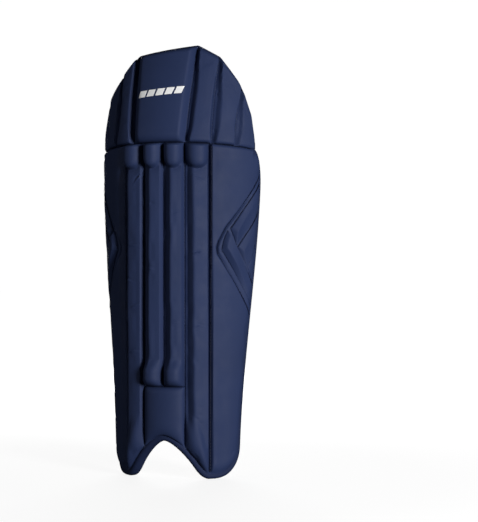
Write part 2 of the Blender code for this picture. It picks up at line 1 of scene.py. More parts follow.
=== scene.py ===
"""Looks of the cricket leg pad: navy moulded face, white padded leg side, striped straps in plastic rings.

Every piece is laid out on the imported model's own surface: the front of the stiff board, rolled about the
shin. A place on it is an angle round the leg, a height, and a depth in front of the board. The face points
to -Y and the leg is on the +Y side. Metres throughout.
"""

import math

import bpy
import numpy as np
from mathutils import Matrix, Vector


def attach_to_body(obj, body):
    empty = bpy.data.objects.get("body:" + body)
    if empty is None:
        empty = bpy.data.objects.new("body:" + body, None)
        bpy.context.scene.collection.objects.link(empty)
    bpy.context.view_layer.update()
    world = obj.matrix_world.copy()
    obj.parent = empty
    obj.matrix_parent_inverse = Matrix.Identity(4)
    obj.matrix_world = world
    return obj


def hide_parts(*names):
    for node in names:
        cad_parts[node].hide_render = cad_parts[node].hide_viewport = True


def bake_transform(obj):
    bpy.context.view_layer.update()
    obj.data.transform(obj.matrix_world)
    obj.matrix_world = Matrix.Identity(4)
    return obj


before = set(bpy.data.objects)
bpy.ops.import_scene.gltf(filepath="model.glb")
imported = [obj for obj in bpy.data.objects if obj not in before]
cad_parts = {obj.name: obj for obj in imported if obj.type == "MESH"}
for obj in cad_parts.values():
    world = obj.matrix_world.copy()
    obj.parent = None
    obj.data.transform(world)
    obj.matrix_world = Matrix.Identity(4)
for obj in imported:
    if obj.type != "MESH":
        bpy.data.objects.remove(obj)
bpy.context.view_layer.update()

# ---- The pad's main dimensions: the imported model's, with the seams where the photo shows them ----
HEIGHT = 0.660
BOARD_RADIUS_ANKLE = 0.095
BOARD_RADIUS_KNEE = 0.125
RADIUS_FULL_HEIGHT = 0.500
EDGE_ANGLE = 1.24
BOARD_FRONT_Y = -0.0399
TOP_LEAN = 0.034
LEAN_START = 0.514
KNEE_SEAM_HEIGHT = 0.5075
KNEE_SEAM_DIP = 0.010
BINDING_WIDTH = 0.003
GAP = 0.0003
ARCH_HEIGHT = 0.058
LOBE_START_LANE = 0.879
LOBE_END_LANE = 1.20
LOBE_SOFT = 0.016
BASE_CORNER_HEIGHT = 0.043
INNER_SEAM = 0.030
OUTER_SEAM = 0.065
INNER_LANE = INNER_SEAM / OUTER_SEAM
SEAM_LANES = (-1.0, -INNER_LANE, 0.0, INNER_LANE, 1.0)
SHOULDER_ANGLE = 1.10
SHOULDER_FALL_TO = 0.440
HINGE_GAP = 0.0004
SPREAD = 1.02
BOARD_THICKNESS = 0.0025
LOW_ROW = 0.128
HIGH_ROW = 0.430
HEAD_ROW = 2.985
BED = 0.0006
LINING_BED = -0.0031
BINDING_BACK = -0.0085

# The pad's two sides, and the way that each lies on the X axis.
HANDS = (("left", 1.0), ("right", -1.0))

# ---- The navy face: depths in front of the board, widths across it ----
SEAM_FACE = 0.0060
BOLSTER_FACE = 0.0172
CUP_FACE = 0.0245
INSTEP_FACE = 0.0155
WING_FACE = 0.0120
EDGE_FACE = 0.0064
BOLSTER_FOOT = 0.140
WALL_TO_LEFT = 0.0082
WALL_TO_RIGHT = 0.0028
TOP_SLOPE = 0.34
TOP_CREST = -0.25
VALLEY = 0.0008
VALLEY_LEFT = 0.0042
SEAM_GROOVE = 0.0021
WING_WALL_RIGHT = 0.0028
WING_WALL_LEFT = 0.0105
CUP_LENGTH = 0.0350
CUP_CORNER = 0.0150
CUP_STEP = 0.0040
CUP_TIP = 0.012
# Below its cup a bolster is drawn in by this share, which dies out over this length.
NECK_SHARE, NECK_LENGTH = 0.42, 0.008
BULB_LENGTH = 0.022
BULB_FADE = 0.022
FOOT_ROLL = 0.013
HEAD_ROLL = 0.006
HEM_COVER = 0.0056

# ---- The knee flap ----
KNEE_SEAM_ANGLES = (0.28, 0.55, 0.83)
KNEE_SEAM_COLUMNS = tuple(side * seam for seam in KNEE_SEAM_ANGLES for side in (-1.0, 1.0))
KNEE_EDGE_ANGLE = 1.085
KNEE_SIDE_ANGLE = 1.120
# The flap in the photo is a little uneven: its seams and its upper edge, from the -X side to the +X side.
KNEE_PANEL_EDGES = (-1.085, -0.83, -0.55, -0.28, 0.28, 0.55, 0.83, 1.085)
KNEE_EDGES_AT_SEAM = (-1.120, -0.93, -0.67, -0.385, 0.250, 0.545, 0.83, 1.120)
KNEE_EDGES_AT_TOP = (-1.120, -0.88, -0.60, -0.405, 0.315, 0.575, 0.88, 1.120)
KNEE_TOP = (
    (-1.120, 0.508), (-1.045, 0.539), (-0.96, 0.563), (-0.88, 0.580), (-0.60, 0.6155), (-0.405, 0.642),
    (0.315, 0.6545), (0.575, 0.6375), (0.83, 0.6010), (0.93, 0.581), (1.035, 0.553), (1.120, 0.508),
)
KNEE_FACES = (0.0190, 0.0155, 0.0135, 0.0110)
KNEE_GROOVE, KNEE_GROOVE_WIDTH = 0.0018, 0.0013
KNEE_LINING_DEPTH = 0.011
KNEE_LINING_INSET = 0.010

# ---- The leg side ----
LINING_CENTRE_LANE = 0.446
LINING_SIDE_LANE = 1.66
LINING_GAP_LANE = 0.02
LINING_EDGE_LANE = 1.985
LINING_FOOT = 0.1385
MESH_HEAD = 0.1375
LINING_SIDE_DEPTH = 0.018
LINING_CENTRE_DEPTH = 0.013
LINING_EDGE_DEPTH = 0.008
MESH_DEPTH = 0.007

# ---- Ribs on the wings, as (angle, height): lower and upper corner in front, then at the side edge ----
RIBS = (
    ((0.665, 0.350), (0.755, 0.375), (1.225, 0.253), (1.225, 0.281)),
    ((0.885, 0.353), (0.790, 0.378), (1.225, 0.415), (1.225, 0.455)),
    ((1.045, 0.323), (0.900, 0.350), (1.225, 0.370), (1.225, 0.411)),
    ((1.205, 0.293), (1.062, 0.320), (1.225, 0.300), (1.225, 0.366)),
)
RIB_LINE = ((1.225, 0.246), (0.646, 0.340), (0.632, 0.350), (0.652, 0.359), (0.730, 0.379), (1.225, 0.460))
RIB_THICKNESS = 0.0078
RIB_RECESS = 0.0028
RIB_GAP = 0.0004
RIB_GROOVE_DEPTH = 0.0050
RIB_GROOVE_WIDTH = 0.0015
RIB_BED_EDGE = 0.002
RIB_LINE_END = 1.185
# The angle from which the ribs, and the groove round them, sink into the wing, and over what angle.
RIB_SINK, GROOVE_SINK = (0.80, 0.34), (0.90, 0.24)

# ---- Straps and rings ----
STRAPS = (("upper", 0.387), ("lower", 0.185))
STRAP_WIDTH = 0.058
STRAP_THICKNESS = 0.002
STRAP_BOW = 0.007
PATCH_THICKNESS = 0.0009
PATCH_INSET = 0.004
LAP_LENGTH = 0.052
RING_FROM_TIP = 0.036
RING_HALF_WIDTH = 0.011
RING_HALF_HEIGHT = 0.0332
RING_WIRE = 0.0022
RING_CORNER = 0.005
RING_BOW = 0.0015
RING_BEHIND_TIP = 0.002
EYE_RADIUS = 0.004
EYE_TAIL = 0.0135
EYE_TAIL_GAP = GAP * 1.5
SEWN_TO_FRONT = 0.003
STRAP_END_MARGIN = 0.004
STRAP_WAVE = 0.0002
STRAP_HEM = 0.006
STITCH_INSET = 0.002
# How far the rows of stitches lie behind the ring's bars and behind the middle of the strap's end.
EYE_STITCH_FRONT, EYE_STITCH_BACK, END_STITCH_BACK = -0.0011, 0.0022, 0.0009
SEAM_STITCH_LANE = 0.028
STITCH_LIFT = 0.0002

# ---- Distances between the lines of nets ----
FINE = 0.0013
LINING_STEP = 0.0016
ROLL_STEP = 0.0018
TAPE_STEP = 0.0015
MOTIF_LINES = 17
# What one lane or row of a net measures, about: on the wings, the flap and the leg side.
WING_SPAN, KNEE_SPANS, LINING_SPANS = 0.077, (0.125, 0.14), (0.070, 0.37)


# ======== Small mathematics on numpy arrays ========


def mix(a, b, t):
    return a + (b - a) * t


def smooth(t):
    """0 to 1 with level ends."""
    t = np.clip(t, 0.0, 1.0)
    return t * t * (3.0 - 2.0 * t)


def soft_min(a, b, soft):
    """The smaller of two values, with a round where they cross."""
    h = np.clip(0.5 + 0.5 * (b - a) / soft, 0.0, 1.0)
    return mix(b, a, h) - soft * h * (1.0 - h)


def edge_round(distance, reach):
    """0 on a seam, rising like a quarter circle to 1 at that reach from it."""
    t = np.clip(distance / reach, 0.0, 1.0)
    return np.sqrt(1.0 - (1.0 - t) ** 2)


def wall(distance, width):
    """0 on a seam, rising evenly to 1 at that width from it, with a rounded shoulder."""
    return np.maximum(soft_min(distance / width, 1.0, 0.22), 0.0)


def dome(t, roundness):
    """1 in the middle and 0 at t = -1 and 1."""
    return 1.0 - np.clip(np.abs(t), 0.0, 1.0) ** roundness


def bump(distance, width):
    """A soft ridge of that half width, 1 on its line."""
    return np.exp(-((distance / width) ** 2))


def lines(first, last, step, exact=(), fine=0.0):
    """Values from first to last about a step apart, with lines on the exact ones and fine beside them."""
    count = max(2, int(round((last - first) / step)))
    values = list(np.linspace(first, last, count + 1))
    for place_of in exact:
        if first < place_of < last:
            values = [v for v in values if abs(v - place_of) > 1.3 * fine or v in (first, last)]
            values += [place_of - fine, place_of, place_of + fine]
    return np.array(sorted(v for v in values if first <= v <= last))


# ======== The surface that the pad is laid out on ========


def board_radius(z):
    return mix(BOARD_RADIUS_ANKLE, BOARD_RADIUS_KNEE, smooth(z / RADIUS_FULL_HEIGHT))


def lean(z):
    above = np.maximum(0.0, (z - LEAN_START) / (HEIGHT - LEAN_START))
    return TOP_LEAN * above**1.5


def place(angle, z, front):
    """Points at these angles round the leg, heights, and depths in front of the board."""
    angle, z, front = np.broadcast_arrays(angle, z, front)
    radius = board_radius(z)
    reach = radius + front
    y = BOARD_FRONT_Y + lean(z) + radius - reach * np.cos(angle)
    return np.stack([SPREAD * reach * np.sin(angle), y, z], axis=-1)


def knee_seam(angle):
    return KNEE_SEAM_HEIGHT - KNEE_SEAM_DIP * (angle / EDGE_ANGLE) ** 2


def shoulder(angle):
    """Height of the shin part's upper edge: the knee seam, then a round fall to the side edge."""
    along = np.clip((angle - SHOULDER_ANGLE) / (EDGE_ANGLE - SHOULDER_ANGLE), 0.0, 1.0)
    fall = SHOULDER_FALL_TO + (knee_seam(SHOULDER_ANGLE) - SHOULDER_FALL_TO) * np.sqrt(1.0 - along**2)
    return np.where(angle <= SHOULDER_ANGLE, knee_seam(angle), fall)


def knee_top(angle):
    """Height of the flap's upper edge."""
    angles, heights = zip(*KNEE_TOP)
    return np.interp(angle, angles, heights)


def knee_angle(column, row):
    """Angle of a column of the flap; the columns of KNEE_PANEL_EDGES are the seams between its panels."""
    at_seam = np.interp(column, KNEE_PANEL_EDGES, KNEE_EDGES_AT_SEAM)
    return mix(at_seam, np.interp(column, KNEE_PANEL_EDGES, KNEE_EDGES_AT_TOP), row)


def unrolled(angle, z):
    """The same places on the flat, as (across, up)."""
    return np.stack([angle * board_radius(z), z], axis=-1)


def lane_angle(lane, z):
    """Lane 0 is the middle, 1 the outer seam and 2 the side edge; lanes below 0 are on the -X side."""
    seam = OUTER_SEAM / board_radius(z)
    beyond = mix(seam, EDGE_ANGLE, np.abs(lane) - 1.0)
    return np.where(np.abs(lane) <= 1.0, lane * seam, np.sign(lane) * beyond)


def lane_of(angle, z):
    seam = OUTER_SEAM / board_radius(z)
    beyond = 1.0 + (np.abs(angle) - seam) / (EDGE_ANGLE - seam)
    return np.where(np.abs(angle) <= seam, angle / seam, np.sign(angle) * beyond)


def lane_foot(lane):
    """Height of the pad's lower edge: an arch over the boot between two lobes with round corners."""
    lane = np.abs(lane)
    arch = ARCH_HEIGHT * (1.0 - (lane / LOBE_START_LANE) ** 1.6)
    along = np.clip((lane - LOBE_END_LANE) / (2.0 - LOBE_END_LANE), 0.0, 1.0)
    corner = BASE_CORNER_HEIGHT * (1.0 - np.sqrt(1.0 - along**2))
    return BINDING_WIDTH + GAP - soft_min(-arch, -corner, LOBE_SOFT)


def lane_head(lane):
    return shoulder(np.abs(lane_angle(lane, KNEE_SEAM_HEIGHT))) - HINGE_GAP


def row_height(lane, row):
    """Rows 0 to 1 are below LOW_ROW, rows 1 to 2 run level up to HIGH_ROW, and rows 2 to 3 are above it."""
    low = mix(lane_foot(lane), LOW_ROW, row)
    level = mix(LOW_ROW, HIGH_ROW, row - 1.0)
    high = mix(HIGH_ROW, lane_head(lane), row - 2.0)
    return np.where(row < 1.0, low, np.where(row <= 2.0, level, high))


def row_of(lane, z):
    low = (z - lane_foot(lane)) / (LOW_ROW - lane_foot(lane))
    high = 2.0 + (z - HIGH_ROW) / (lane_head(lane) - HIGH_ROW)
    return np.where(z < LOW_ROW, low, np.where(z > HIGH_ROW, high, level_row(z)))


def level_row(z):
    return 1.0 + (z - LOW_ROW) / (HIGH_ROW - LOW_ROW)


def knee_height(angle, row):
    return mix(knee_seam(angle) + HINGE_GAP, knee_top(angle), row)


# ======== Skins: surfaces held as nets of points ========


class Skin:
    """A surface of the pad. Columns run across it and rows up it; points[i, j] is where two of them cross."""

    side = 1.0

    def __init__(self, columns, rows, depth, knee=False):
        self.columns, self.rows = np.asarray(columns, float), np.asarray(rows, float)
        across, up = np.meshgrid(self.columns, self.rows, indexing="ij")
        if knee:
            angle = knee_angle(across, up)
            z = knee_height(angle, up)
            spots = (across, z, up)
        else:
            z = row_height(across, up)
            angle = lane_angle(across, z)
            spots = (across, z)
        self.points = place(angle, z, depth(*spots) if callable(depth) else depth)
        self.flat = unrolled(angle, z)

    def at(self, column, row, lift=0.0):
        """Points on the skin, or above it by lift on the side away from the board."""
        column, row = np.atleast_1d(column).astype(float), np.atleast_1d(row).astype(float)
        column, row = np.broadcast_arrays(column, row)
        i = np.clip(np.searchsorted(self.columns, column) - 1, 0, len(self.columns) - 2)
        j = np.clip(np.searchsorted(self.rows, row) - 1, 0, len(self.rows) - 2)
        s = ((column - self.columns[i]) / (self.columns[i + 1] - self.columns[i]))[..., None]
        t = ((row - self.rows[j]) / (self.rows[j + 1] - self.rows[j]))[..., None]
        p = self.points
        low, high = mix(p[i, j], p[i + 1, j], s), mix(p[i, j + 1], p[i + 1, j + 1], s)
        normal = np.cross(mix(p[i + 1, j] - p[i, j], p[i + 1, j + 1] - p[i, j + 1], t), high - low)
        normal /= np.linalg.norm(normal, axis=-1, keepdims=True)
        return mix(low, high, t) + normal * np.asarray(lift)[..., None] * self.outward()

    def outward(self):
        """1 where the skin faces the front, -1 where it faces the leg."""
        i, j = len(self.columns) // 2, len(self.rows) // 2
        p = self.points
        return -np.sign(np.cross(p[i + 1, j] - p[i, j], p[i, j + 1] - p[i, j])[1]) * self.side


def mesh_object(name, points, faces, finish, flat=None, crease=40.0):
    """A smooth shaded object. flat gives each point's place on the cut-out material, kept as a UV map."""
    mesh = bpy.data.meshes.new(name)
    mesh.from_pydata(np.asarray(points).reshape(-1, 3).tolist(), [], faces)
    if flat is not None:
        corners = np.zeros(len(mesh.loops), np.int32)
        mesh.loops.foreach_get("vertex_index", corners)
        layer = mesh.uv_layers.new(name="flat")
        layer.data.foreach_set("uv", np.asarray(flat).reshape(-1, 2)[corners].astype(np.float32).ravel())
    mesh.shade_smooth()
    mesh.set_sharp_from_angle(angle=math.radians(crease))
    mesh.materials.append(finish)
    made = bpy.data.objects.new(name, mesh)
    bpy.context.scene.collection.objects.link(made)
    return made


def grid_faces(wide, tall, start=0, flip=False):
    i, j = np.meshgrid(np.arange(wide - 1), np.arange(tall - 1), indexing="ij")
    a = (start + i * tall + j).ravel()
    quads = np.stack([a, a + tall, a + tall + 1, a + 1], axis=-1)
    return (quads[:, ::-1] if flip else quads).tolist()


def closed_faces(wide, tall, start, far, flip=False):
    """Faces of a sheet with thickness: its back points come far after its front ones."""
    ring = [i * tall for i in range(wide)] + [(wide - 1) * tall + j for j in range(1, tall)]
    ring += [i * tall + tall - 1 for i in range(wide - 2, -1, -1)] + list(range(tall - 2, 0, -1))
    faces = grid_faces(wide, tall, start, flip) + grid_faces(wide, tall, far + start, not flip)
    for a, b in zip(ring, ring[1:] + ring[:1]):
        a, b = (b + start, a + start) if flip else (a + start, b + start)
        faces.append((b, a, a + far, b + far))
    return faces


def slab(name, front, back, finish, flat, crease=40.0):
    """A closed sheet with thickness, from the nets of its front and its back points."""
    wide, tall = front.shape[:2]
    points = np.concatenate([front.reshape(-1, 3), back.reshape(-1, 3)])
    flat = np.concatenate([flat.reshape(-1, 2)] * 2)
    return mesh_object(name, points, closed_faces(wide, tall, 0, wide * tall), finish, flat, crease)


def swept(name, sections, finish, flat=None, closed=False, crease=50.0):
    """A solid from a row of outlines, sections[k, m], with its ends capped unless it closes on itself."""
    count, sides = sections.shape[:2]
    faces = []
    for k in range(count if closed else count - 1):
        here, following = k * sides, ((k + 1) % count) * sides
        for m in range(sides):
            n = (m + 1) % sides
            faces.append((here + m, here + n, following + n, following + m))
    if not closed:
        faces.append(tuple(reversed(range(sides))))
        faces.append(tuple(range((count - 1) * sides, count * sides)))
    return mesh_object(name, sections, faces, finish, flat, crease)


def attach(piece, body, slot, *nodes):
    """Ride the piece on its body and let it stand for CAD nodes, which are hidden. slot is not used."""
    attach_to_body(piece, body)
    if nodes:
        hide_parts(*nodes)
    return piece


def stuffed(name, body, slot, nodes, front, back, finish, flat):
    """A padded slab that rides on its body in place of its nodes."""
    attach(slab(name, front, back, finish, flat), body, slot, *nodes)


# ======== Cloth simulation ========


CLOTH_FRAMES = 20
CLOTH_PRESSURE = 4.0
# For each stuff: the distance between the lines of its coarse net, and its spare cloth as a share.
LEATHER, LINING = (0.0042, 0.008), (0.0035, 0.022)
# How far the cloth may move on each kind of piece.
SHIN_LIMIT, KNEE_LIMIT, KNEE_LINING_LIMIT, LINING_LIMIT = 0.0004, 0.0003, 0.0012, 0.0014


def coarse_lines(values, scale, pinned, step):
    """Indices of lines about a step apart, always with the first, the last and the pinned ones."""
    kept = {0, len(values) - 1} | {int(np.argmin(np.abs(values - spot))) for spot in pinned}
    for k in range(len(values)):
        if min(abs(values[k] - values[j]) for j in kept) * scale >= step:
            kept.add(k)
    return np.array(sorted(kept))


def between_lines(values, kept):
    """Weights that carry values on the kept lines over to every line."""
    return np.stack([np.interp(values, values[kept], row) for row in np.eye(len(kept))], axis=1)


def settle(skin, scale, pinned_columns, is_pinned, stuff, limit):
    """The skin as a covering cut a little large, sewn down where pinned and blown up by its stuffing."""
    step, extra = stuff
    columns = coarse_lines(skin.columns, scale[0], pinned_columns, step)
    rows = coarse_lines(skin.rows, scale[1], (), step)
    net = skin.points[np.ix_(columns, rows)]
    wide, tall = net.shape[:2]
    across, up = np.meshgrid(skin.columns[columns], skin.rows[rows], indexing="ij")
    held = is_pinned(across, up) | np.isin(np.arange(wide), (0, wide - 1))[:, None]
    held |= np.isin(np.arange(tall), (0, tall - 1))[None, :]
    for spot in pinned_columns:
        held[int(np.argmin(np.abs(skin.columns[columns] - spot)))] = True
    sheet = bpy.data.meshes.new("settling")
    sheet.from_pydata(net.reshape(-1, 3).tolist(), [], grid_faces(wide, tall, flip=skin.outward() < 0))
    cloth = bpy.data.objects.new("settling", sheet)
    bpy.context.scene.collection.objects.link(cloth)
    cloth.vertex_groups.new(name="sewn").add(np.flatnonzero(held.ravel()).tolist(), 1.0, "REPLACE")
    modifier = cloth.modifiers.new("cloth", "CLOTH")
    settings = modifier.settings
    settings.quality, settings.mass, settings.vertex_group_mass = 5, 0.2, "sewn"
    settings.tension_stiffness = settings.compression_stiffness = 14.0
    settings.shear_stiffness, settings.bending_stiffness = 6.0, 0.2
    settings.shrink_min = -extra
    settings.use_pressure, settings.uniform_pressure_force = True, CLOTH_PRESSURE
    settings.effector_weights.gravity = 0.0
    modifier.collision_settings.use_collision = False
    modifier.point_cache.frame_start, modifier.point_cache.frame_end = 1, CLOTH_FRAMES
    for frame_number in range(1, CLOTH_FRAMES + 1):
        bpy.context.scene.frame_set(frame_number)
    settled = cloth.evaluated_get(bpy.context.evaluated_depsgraph_get())
    moved = np.zeros(wide * tall * 3, np.float32)
    settled.data.vertices.foreach_get("co", moved)
    moved = moved.reshape(wide, tall, 3) - net
    moved *= limit / np.maximum(np.linalg.norm(moved, axis=-1, keepdims=True), limit)
    bpy.context.scene.frame_set(1)
    bpy.data.objects.remove(cloth)
    bpy.data.meshes.remove(sheet)
    by_column, by_row = between_lines(skin.columns, columns), between_lines(skin.rows, rows)
    skin.points = skin.points + np.einsum("ic,cjk,lj->ilk", by_column, moved, by_row)


def nowhere(across, _up):
    return np.zeros(across.shape, bool)


# ======== Materials ========


class Shader:
    """A short way to write node materials."""

    def __init__(self, name):
        self.material = bpy.data.materials.new(name)
        self.material.use_nodes = True
        self.tree = self.material.node_tree
        self.surface = self.tree.nodes["Principled BSDF"]

    def node(self, kind, inputs=None, **settings):
        made = self.tree.nodes.new(kind)
        for key, value in settings.items():
            setattr(made, key, value)
        for key, value in (inputs or {}).items():
            self.feed(made.inputs[key], value)
        return made

    def feed(self, socket, value):
        if isinstance(value, bpy.types.NodeSocket):
            self.tree.links.new(value, socket)
        else:
            socket.default_value = value

    def set(self, **values):
        for key, value in values.items():
            self.feed(self.surface.inputs[key.replace("_", " ")], value)

    def flat(self, scale=(1.0, 1.0, 1.0), turn=0.0):
        """Coordinates on the cut-out material, in metres, turned and scaled."""
        uv = self.node("ShaderNodeUVMap", uv_map="flat").outputs["UV"]
        inputs = {"Vector": uv, "Rotation": (0.0, 0.0, turn), "Scale": scale}
        return self.node("ShaderNodeMapping", inputs).outputs["Vector"]

    def solid(self, scale=1.0):
        """Coordinates in the pad's own space."""
        place_of = self.node("ShaderNodeTexCoord").outputs["Object"]
        return self.node("ShaderNodeMapping", {"Vector": place_of, "Scale": (scale,) * 3}).outputs["Vector"]

    def noise(self, vector, scale, detail=3.0, roughness=0.55):
        inputs = {"Vector": vector, "Scale": scale, "Detail": detail, "Roughness": roughness}
        return self.node("ShaderNodeTexNoise", inputs).outputs["Fac"]

    def cells(self, vector, scale, feature="F1", dimensions="3D"):
        made = self.node("ShaderNodeTexVoronoi", {"Vector": vector, "Scale": scale}, feature=feature)
        made.voronoi_dimensions = dimensions
        return made.outputs["Distance"]

    def maths(self, operation, a, b=0.0, clamp=False):
        return self.node("ShaderNodeMath", {0: a, 1: b}, operation=operation, use_clamp=clamp).outputs[0]

    def between(self, value, low, high, to_low=0.0, to_high=1.0):
        inputs = {"Value": value, "From Min": low, "From Max": high, "To Min": to_low, "To Max": to_high}
        return self.node("ShaderNodeMapRange", inputs).outputs["Result"]

    def colour(self, share, first, second):
        made = self.node("ShaderNodeMix", data_type="RGBA")
        self.feed(made.inputs["Factor"], share)
        for socket, value in ((made.inputs[6], first), (made.inputs[7], second)):
            self.feed(socket, value if isinstance(value, bpy.types.NodeSocket) else (*value, 1.0))
        return made.outputs[2]

    def relief(self, height, strength, distance, normal=None):
        inputs = {"Height": height, "Strength": strength, "Distance": distance}
        if normal is not None:
            inputs["Normal"] = normal
        return self.node("ShaderNodeBump", inputs).outputs["Normal"]

    def worn(self):
        """1 on outer edges and crests, 0 elsewhere."""
        point = self.node("ShaderNodeNewGeometry").outputs["Pointiness"]
        return self.between(point, 0.52, 0.60)


def times(colour, factor):
    return tuple(min(1.0, c * factor) for c in colour)


def leather(name, colour, rough, grain=0.35, variation=0.12, worn_colour=None, specular=0.5):
    """Polyurethane leather: fine pebbled grain, slight unevenness, a little shine lost on the crests."""
    s = Shader(name)
    spot = s.solid()
    pebble = s.cells(spot, 1400.0)
    pores = s.noise(spot, 900.0, 2.0)
    waves = s.noise(spot, 45.0, 3.0)
    broad = s.noise(spot, 9.0, 2.0)
    darker, lighter = times(colour, 1.0 - variation), times(colour, 1.0 + variation)
    tone = s.colour(s.between(broad, 0.3, 0.7), darker, lighter)
    tone = s.colour(s.between(pores, 0.45, 0.75, 0.0, 0.35), tone, darker)
    if worn_colour:
        rubbed = s.maths("MULTIPLY", s.worn(), s.between(waves, 0.35, 0.65, 0.2, 0.55))
        tone = s.colour(rubbed, tone, worn_colour)
    s.set(Base_Color=tone, Specular_IOR_Level=specular)
    s.set(Roughness=s.between(waves, 0.3, 0.7, rough - 0.05, rough + 0.06))
    s.set(Normal=s.relief(waves, grain * 0.4, 0.0006, s.relief(pebble, grain, 0.00012)))
    return s.material


def suede(name, colour):
    """Brushed microfibre: no gloss, short nap, soft tone changes."""
    s = Shader(name)
    spot = s.solid()
    nap = s.noise(spot, 1600.0, 3.0)
    brushed = s.noise(spot, 28.0, 4.0, 0.6)
    darker = times(colour, 0.90)
    tone = s.colour(s.between(brushed, 0.35, 0.65), darker, times(colour, 1.05))
    tone = s.colour(s.between(nap, 0.4, 0.7, 0.0, 0.25), tone, darker)
    s.set(Base_Color=tone, Roughness=0.92, Specular_IOR_Level=0.2, Sheen_Weight=0.35, Sheen_Roughness=0.6)
    s.set(Normal=s.relief(nap, 0.45, 0.0002))
    return s.material


def knitted(name, colour, cell_wide, cell_high):
    """Ventilated mesh: rows of diamond holes, darkened inside with painted shade, in a fine knit."""
    s = Shader(name)
    u, v = separate(s, s.flat())

    def slanted(operation):
        """Ridges that run slantwise up the cloth, to one side or to the other."""
        turns = s.maths(operation, s.maths("DIVIDE", u, cell_wide), s.maths("DIVIDE", v, cell_high))
        return s.maths("ABSOLUTE", s.maths("SINE", s.maths("MULTIPLY", turns, math.pi)))

    hole = s.between(s.maths("MULTIPLY", slanted("ADD"), slanted("SUBTRACT")), 0.45, 0.8)
    knit = s.noise(s.flat((1.0, 0.4, 1.0)), 2600.0, 2.0)
    # Painted shade: the holes get a darker copy of the mesh colour.
    tone = s.colour(hole, colour, times(colour, 0.62))
    tone = s.colour(s.between(knit, 0.4, 0.7, 0.0, 0.2), tone, times(colour, 0.8))
    s.set(Base_Color=tone, Roughness=0.85, Specular_IOR_Level=0.25, Sheen_Weight=0.2)
    height = s.maths("ADD", s.maths("MULTIPLY", hole, -1.0), s.maths("MULTIPLY", knit, 0.3))
    s.set(Normal=s.relief(height, 0.5, 0.0004))
    return s.material


def separate(s, vector):
    made = s.node("ShaderNodeSeparateXYZ", {"Vector": vector})
    return made.outputs["X"], made.outputs["Y"]


STRIPES = ((0.0046, 0.0171), (0.0236, 0.0286))


def webbing(name):
    """Elastic twill tape, with a wide and a narrow black stripe near its upper edge."""
    s = Shader(name)
    u, v = separate(s, s.flat())
    turned_u, _turned_v = separate(s, s.flat(turn=math.radians(52.0)))
    ribs, picks, ends = (
        s.maths("SINE", s.maths("MULTIPLY", value, 2.0 * math.pi / pitch))
        for value, pitch in ((turned_u, 0.0013), (u, 0.0007), (v, 0.0008))
    )
    fuzz = s.noise(s.flat(), 1500.0, 3.0)
    white, black = (0.80, 0.79, 0.76), (0.011, 0.011, 0.012)
    tone = s.colour(s.between(ribs, -0.9, 0.2, 0.45, 0.0), white, times(white, 0.83))
    dark = s.colour(s.between(picks, 0.2, 0.9, 0.0, 0.6), black, (0.045, 0.045, 0.048))
    edge = s.maths("ADD", v, s.maths("MULTIPLY", s.maths("ADD", fuzz, -0.5), 0.0006))
    for first, last in STRIPES:
        past_first, before_last = s.between(edge, first, first + 0.0003), s.between(edge, last, last - 0.0003)
        tone = s.colour(s.maths("MULTIPLY", past_first, before_last), tone, dark)
    s.set(Base_Color=tone, Roughness=0.88, Specular_IOR_Level=0.25, Sheen_Weight=0.15)
    height = s.maths("ADD", ribs, s.maths("MULTIPLY", s.maths("ADD", picks, ends), 0.35))
    s.set(Normal=s.relief(s.maths("ADD", height, fuzz), 0.5, 0.00022))
    return s.material


def plastic(name, colour):
    """Moulded ring plastic: slightly cloudy gloss with fine scuffs."""
    s = Shader(name)
    spot = s.solid()
    scuffs = s.noise(spot, 260.0, 4.0)
    tone = s.colour(s.between(s.noise(spot, 60.0), 0.3, 0.7), times(colour, 0.95), colour)
    s.set(Base_Color=tone, Roughness=s.between(scuffs, 0.3, 0.7, 0.24, 0.40), Subsurface_Weight=0.08)
    s.set(Subsurface_Radius=(0.004, 0.004, 0.003), Normal=s.relief(scuffs, 0.08, 0.0003))
    return s.material


def fibre(name, colour, scale, strength):
    """Tangled loops, tiny hooks or twisted thread."""
    s = Shader(name)
    tangle = s.cells(s.solid(), scale)
    tone = s.colour(s.between(tangle, 0.1, 0.7), times(colour, 1.08), times(colour, 0.7))
    s.set(Base_Color=tone, Roughness=0.9, Specular_IOR_Level=0.2, Normal=s.relief(tangle, strength, 0.0005))
    return s.material


def wood(name):
    """Split cane with its long grain."""
    s = Shader(name)
    drawn_out = s.node("ShaderNodeMapping", {"Vector": s.solid(), "Scale": (1.0, 1.0, 0.06)})
    grain = s.noise(drawn_out.outputs[0], 900.0)
    tone = s.colour(s.between(grain, 0.35, 0.65), (0.52, 0.36, 0.17), (0.68, 0.52, 0.29))
    s.set(Base_Color=tone, Roughness=0.55, Normal=s.relief(grain, 0.4, 0.0002))
    return s.material


# ======== The navy face of the shin part ========


def across(lane, z):
    """Distance from the middle line, measured round the board."""
    return lane_angle(lane, z) * board_radius(z)


def foot_distance(lane, z):
    """Distance in from the pad's lower edge, square to it."""
    step = 0.004
    rise = (lane_foot(lane + step) - lane_foot(lane - step)) / (2.0 * step * OUTER_SEAM)
    return (z - lane_foot(lane)) / np.sqrt(1.0 + rise**2)


